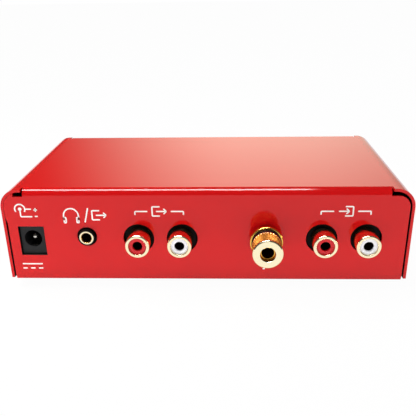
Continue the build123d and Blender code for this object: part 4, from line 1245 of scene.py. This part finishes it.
def spun(name, centre):
    """Aluminium with the circles of a spinning tool about an axis along Y."""
    material = finish(name, "#DADBDD", {"Metallic": 1.0})
    tree = material.node_tree
    centred = {"Vector": on_piece(tree), "Location": -centre}
    centred = add(tree, "ShaderNodeMapping", centred, vector_type="POINT").outputs[0]
    circles = {"Vector": centred, "Scale": line_scale, "Distortion": 1.0, "Detail": 2.0}
    circles = add(tree, "ShaderNodeTexWave", circles, wave_type="RINGS", rings_direction="Y")
    circles = circles.outputs["Fac"]
    whole_span = (0.0, 1.0)
    relieve(material, circles, 0.004, circles, whole_span, smooth=0.22, rough=0.36, strength=0.5)
    return material


for knob in ("level_knob", "gain_knob"):
    dress(knob, phenolic, edge=0.1)
    dress(f"{knob}_cap", spun(f"spun_aluminium_{knob}", middle(knob)), edge=0.1)
    dress(f"{knob}_line", ink, edge=0.05)

# %% [markdown]
# The lever and its bushing are brass under bright nickel, which mirrors the room sharply and a
# shade warmer than chrome would. The bushing's thread is grown as plain ribs.

# %% Lever
nickel = finish("bright_nickel_plate", "#D6D2CB", {"Metallic": 1.0})
add_grain(nickel, size=2.0, depth=0.002, smooth=0.08, rough=0.16)
thread_pitch, thread_depth = 0.5, 0.2
thread_margin = 0.2
bushing_radius, bushing_bore = 3.0, 2.45
bushing_back, bushing_front = -1.0, 6.0
rib_count = int((bushing_front - bushing_back - 2 * thread_margin) / thread_pitch)
ribs = []
for i in range(rib_count):
    crest = bushing_back + thread_margin + i * thread_pitch
    ribs.append((bushing_radius, crest, 0))
    ribs.append((bushing_radius - thread_depth, crest + thread_pitch / 2, 0))
bushing = turned(
    [
        (bushing_bore, bushing_back, 0),
        *ribs,
        (bushing_radius - thread_depth, bushing_front, 0.1),
        (bushing_bore, bushing_front, 0.1),
    ],
    segments=64,
)
fit("filter_switch_bushing", bushing, on_front("filter_switch_bushing"), "front", nickel)
dress("filter_switch_nut", nickel, edge=0.12)
dress("filter_switch_lever", nickel, edge=0.05)

# %% [markdown]
# The lamp is cast from tinted epoxy: light goes into it, so its red looks deep, and its skin is
# as smooth as its mould. Its bezel is nickel plated like the lever.

# %% Lamp
lens_epoxy = finish("clear_red_epoxy", "#E8251B", {"IOR": 1.53, "Transmission Weight": 0.6})
add_grain(lens_epoxy, size=1.0, depth=0.002, smooth=0.05, rough=0.12)
lens_radius, flange_radius = 1.5, 1.9
lens_back, flange_front, lens_front = -3.4, -2.4, 3.4
dome = 1.45
lens = turned(
    [
        (0, lens_back, 0),
        (flange_radius, lens_back, 0),
        (flange_radius, flange_front, 0),
        (lens_radius, flange_front, 0),
        (lens_radius, lens_front, dome),
        (0, lens_front, 0),
    ],
    segments=64,
)
fit("power_led", lens, on_front("power_led"), "front", lens_epoxy)
bezel_bore, bezel_radius, bezel_lip, bezel_face = 1.55, 2.6, 3.3, 2.65
bezel_back, lip_edge, bezel_front = -1.8, 0.65, 1.3
bezel = turned(
    [
        (bezel_bore, bezel_back, 0),
        (bezel_radius, bezel_back, 0),
        (bezel_radius, 0, 0),
        (bezel_lip, 0, 0),
        (bezel_lip, lip_edge, 0.1),
        (bezel_face, bezel_front, 0.15),
        (bezel_bore, bezel_front, 0.1),
    ],
    segments=64,
)
fit("power_led_bezel", bezel, on_front("power_led_bezel"), "front", nickel)

# %% [markdown]
# ## Dials
#
# Eleven ticks and plain numbers stand round each knob, from 0 to 10 over the 300 degrees that its
# pot turns. The lever's ends are marked with a line and a ring, and the lamp with the sign for
# power.

# %% Numbers and ticks
dial_steps, dial_sweep = 10, 300
# Degrees from the panel's right: the middle number stands straight up.
dial_top = 90
tick_gap, tick_length = 0.9, 1.3
number_gap, number_height = 3.7, 2.3
# The built-in font's digits are this share of its size.
digit_share = 0.69


def number(value, u, v):
    """A printed number, centred on a point of the control panel."""
    curve = bpy.data.curves.new("number", "FONT")
    curve.body = str(value)
    curve.size = number_height * MM / digit_share
    curve.align_x = "CENTER"
    curve.align_y = "CENTER"
    curve.extrude = ink_thickness / 2 * MM
    mesh = plain(carrier_of("number", curve))
    turn = Matrix.Rotation(pi / 2, 4, "X")
    place = Matrix.Translation(panel_origin["front"] + Vector((u, 0, v)) * MM)
    mesh.transform(place @ turn)
    return mesh


ticks, numbers = [], []
for knob in ("level_knob", "gain_knob"):
    low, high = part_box(knob)
    centre = (low + high) / 2 / MM
    u, v = centre.x, centre.z - sill / MM
    knob_radius = (high.x - low.x) / 2 / MM
    tick_start, out = knob_radius + tick_gap, knob_radius + number_gap
    for step in range(dial_steps + 1):
        turn = radians(dial_top + dial_sweep / 2 - dial_sweep * step / dial_steps)
        across, up = cos(turn), sin(turn)
        ends = (tick_start, tick_start + tick_length)
        ticks.append([(u + across * r, v + up * r) for r in ends])
        numbers.append(number(step, u + across * out, v + up * out))
print(len(ticks), "ticks and", len(numbers), "numbers")


# %% Control panel's print
def on_dial(node):
    """A node's centre in panel millimetres."""
    return middle(node).x / MM, (middle(node).z - sill) / MM


thin_stroke = 0.35
on_start, on_end = 6.6, 8.8
off_drop, off_radius = 7.7, 1.1
sign_rise, sign_radius, sign_line = 7.0, 1.4, 1.7
lever_u, lever_v = on_dial("filter_switch_bushing")
lamp_u, lamp_v = on_dial("power_led")
sign_v = lamp_v + sign_rise
# The sign for power is a ring that is open at its top, with a line in the gap.
front_marks = [
    *ticks,
    [(lever_u, lever_v + on_start), (lever_u, lever_v + on_end)],
    arc(lamp_u, sign_v, sign_radius, 125, 415),
    [(lamp_u, sign_v), (lamp_u, sign_v + sign_line)],
]
# The ring's last point stops one step short of its first, and closing joins them.
off_ring = arc(lever_u, lever_v - off_drop, off_radius, 0, 345, count=23)
strokes = printed("front", front_marks, [off_ring], width=thin_stroke)
front_print = joined([strokes, *numbers])
install("control_panel_print", front_print, [ink], "case", "white_moulding")

# %% [markdown]
# ## Inside
#
# What the case hides keeps its CAD shape and gets the finish that its slot in the record names:
# green mask over the board's copper, soft plastic on the wire and the capacitors' cans, cast
# epoxy and dipped lacquer on the small parts, and bare brass on the rest.

# %% Finishes for the inside
brass = finish("drawn_brass", "#E2B866", {"Metallic": 1.0})
add_grain(brass, size=1.0, depth=0.003, smooth=0.2, rough=0.35)
wet_look = {"IOR": 1.5, "Coat Weight": 0.4, "Coat Roughness": 0.15}
solder_mask = finish("green_solder_mask", "#0F5A2C", wet_look)
add_grain(solder_mask, size=0.8, depth=0.01, smooth=0.25, rough=0.4)
green_pvc = finish("extruded_green_pvc", "#1E8A3A", {"IOR": 1.53})
add_grain(green_pvc, size=0.6, depth=0.02, smooth=0.35, rough=0.5)
sleeve = finish("shrunk_black_pvc_sleeve", "#15151C", {"IOR": 1.53})
add_grain(sleeve, size=0.8, depth=0.01, smooth=0.18, rough=0.3)
film = finish("cast_yellow_epoxy", "#D79A1E", {"IOR": 1.55})
add_grain(film, size=0.5, depth=0.02, smooth=0.3, rough=0.45)
lacquer = finish("dipped_blue_lacquer", "#5E9CC4", {"IOR": 1.5})
add_grain(lacquer, size=0.3, depth=0.02, smooth=0.3, rough=0.5)
# The contacts are painted a near-black brown, as painted shade in their holes.
contacts_painted_shade = finish("oxidised_phosphor_bronze", "#2A1D12", {"Metallic": 1.0})
add_grain(contacts_painted_shade, size=0.5, depth=0.01, smooth=0.4, rough=0.6)

# %% Handing them out
finish_of_slot = {
    "red_enamel": enamel,
    "black_enamel": satin_black,
    "zinc_screws": zinc,
    "rubber": rubber,
    "board": solder_mask,
    "brass": brass,
    "gold_plate": gold,
    "black_moulding": moulding,
    "red_moulding": red_nylon,
    "white_moulding": white_nylon,
    "tinned_metal": tin,
    "nickel_nut": nickel,
    "green_insulation": green_pvc,
    "spun_aluminium": zinc,
    "lamp_lens": lens_epoxy,
    "can_sleeve": sleeve,
    "film_case": film,
    "resistor_lacquer": lacquer,
}
for node, cad_piece in frame["nodes"].items():
    cad_piece.data.materials.clear()
    cad_piece.data.materials.append(finish_of_slot[slot_of[node]])
# The contacts get the near-black bronze: painted shade in their holes.
for node in ("output_jack_contacts", "input_jack_contacts", "headphone_jack_springs"):
    frame["nodes"][node].data.materials[0] = contacts_painted_shade
print(len(finish_of_slot), "slots have a finish")
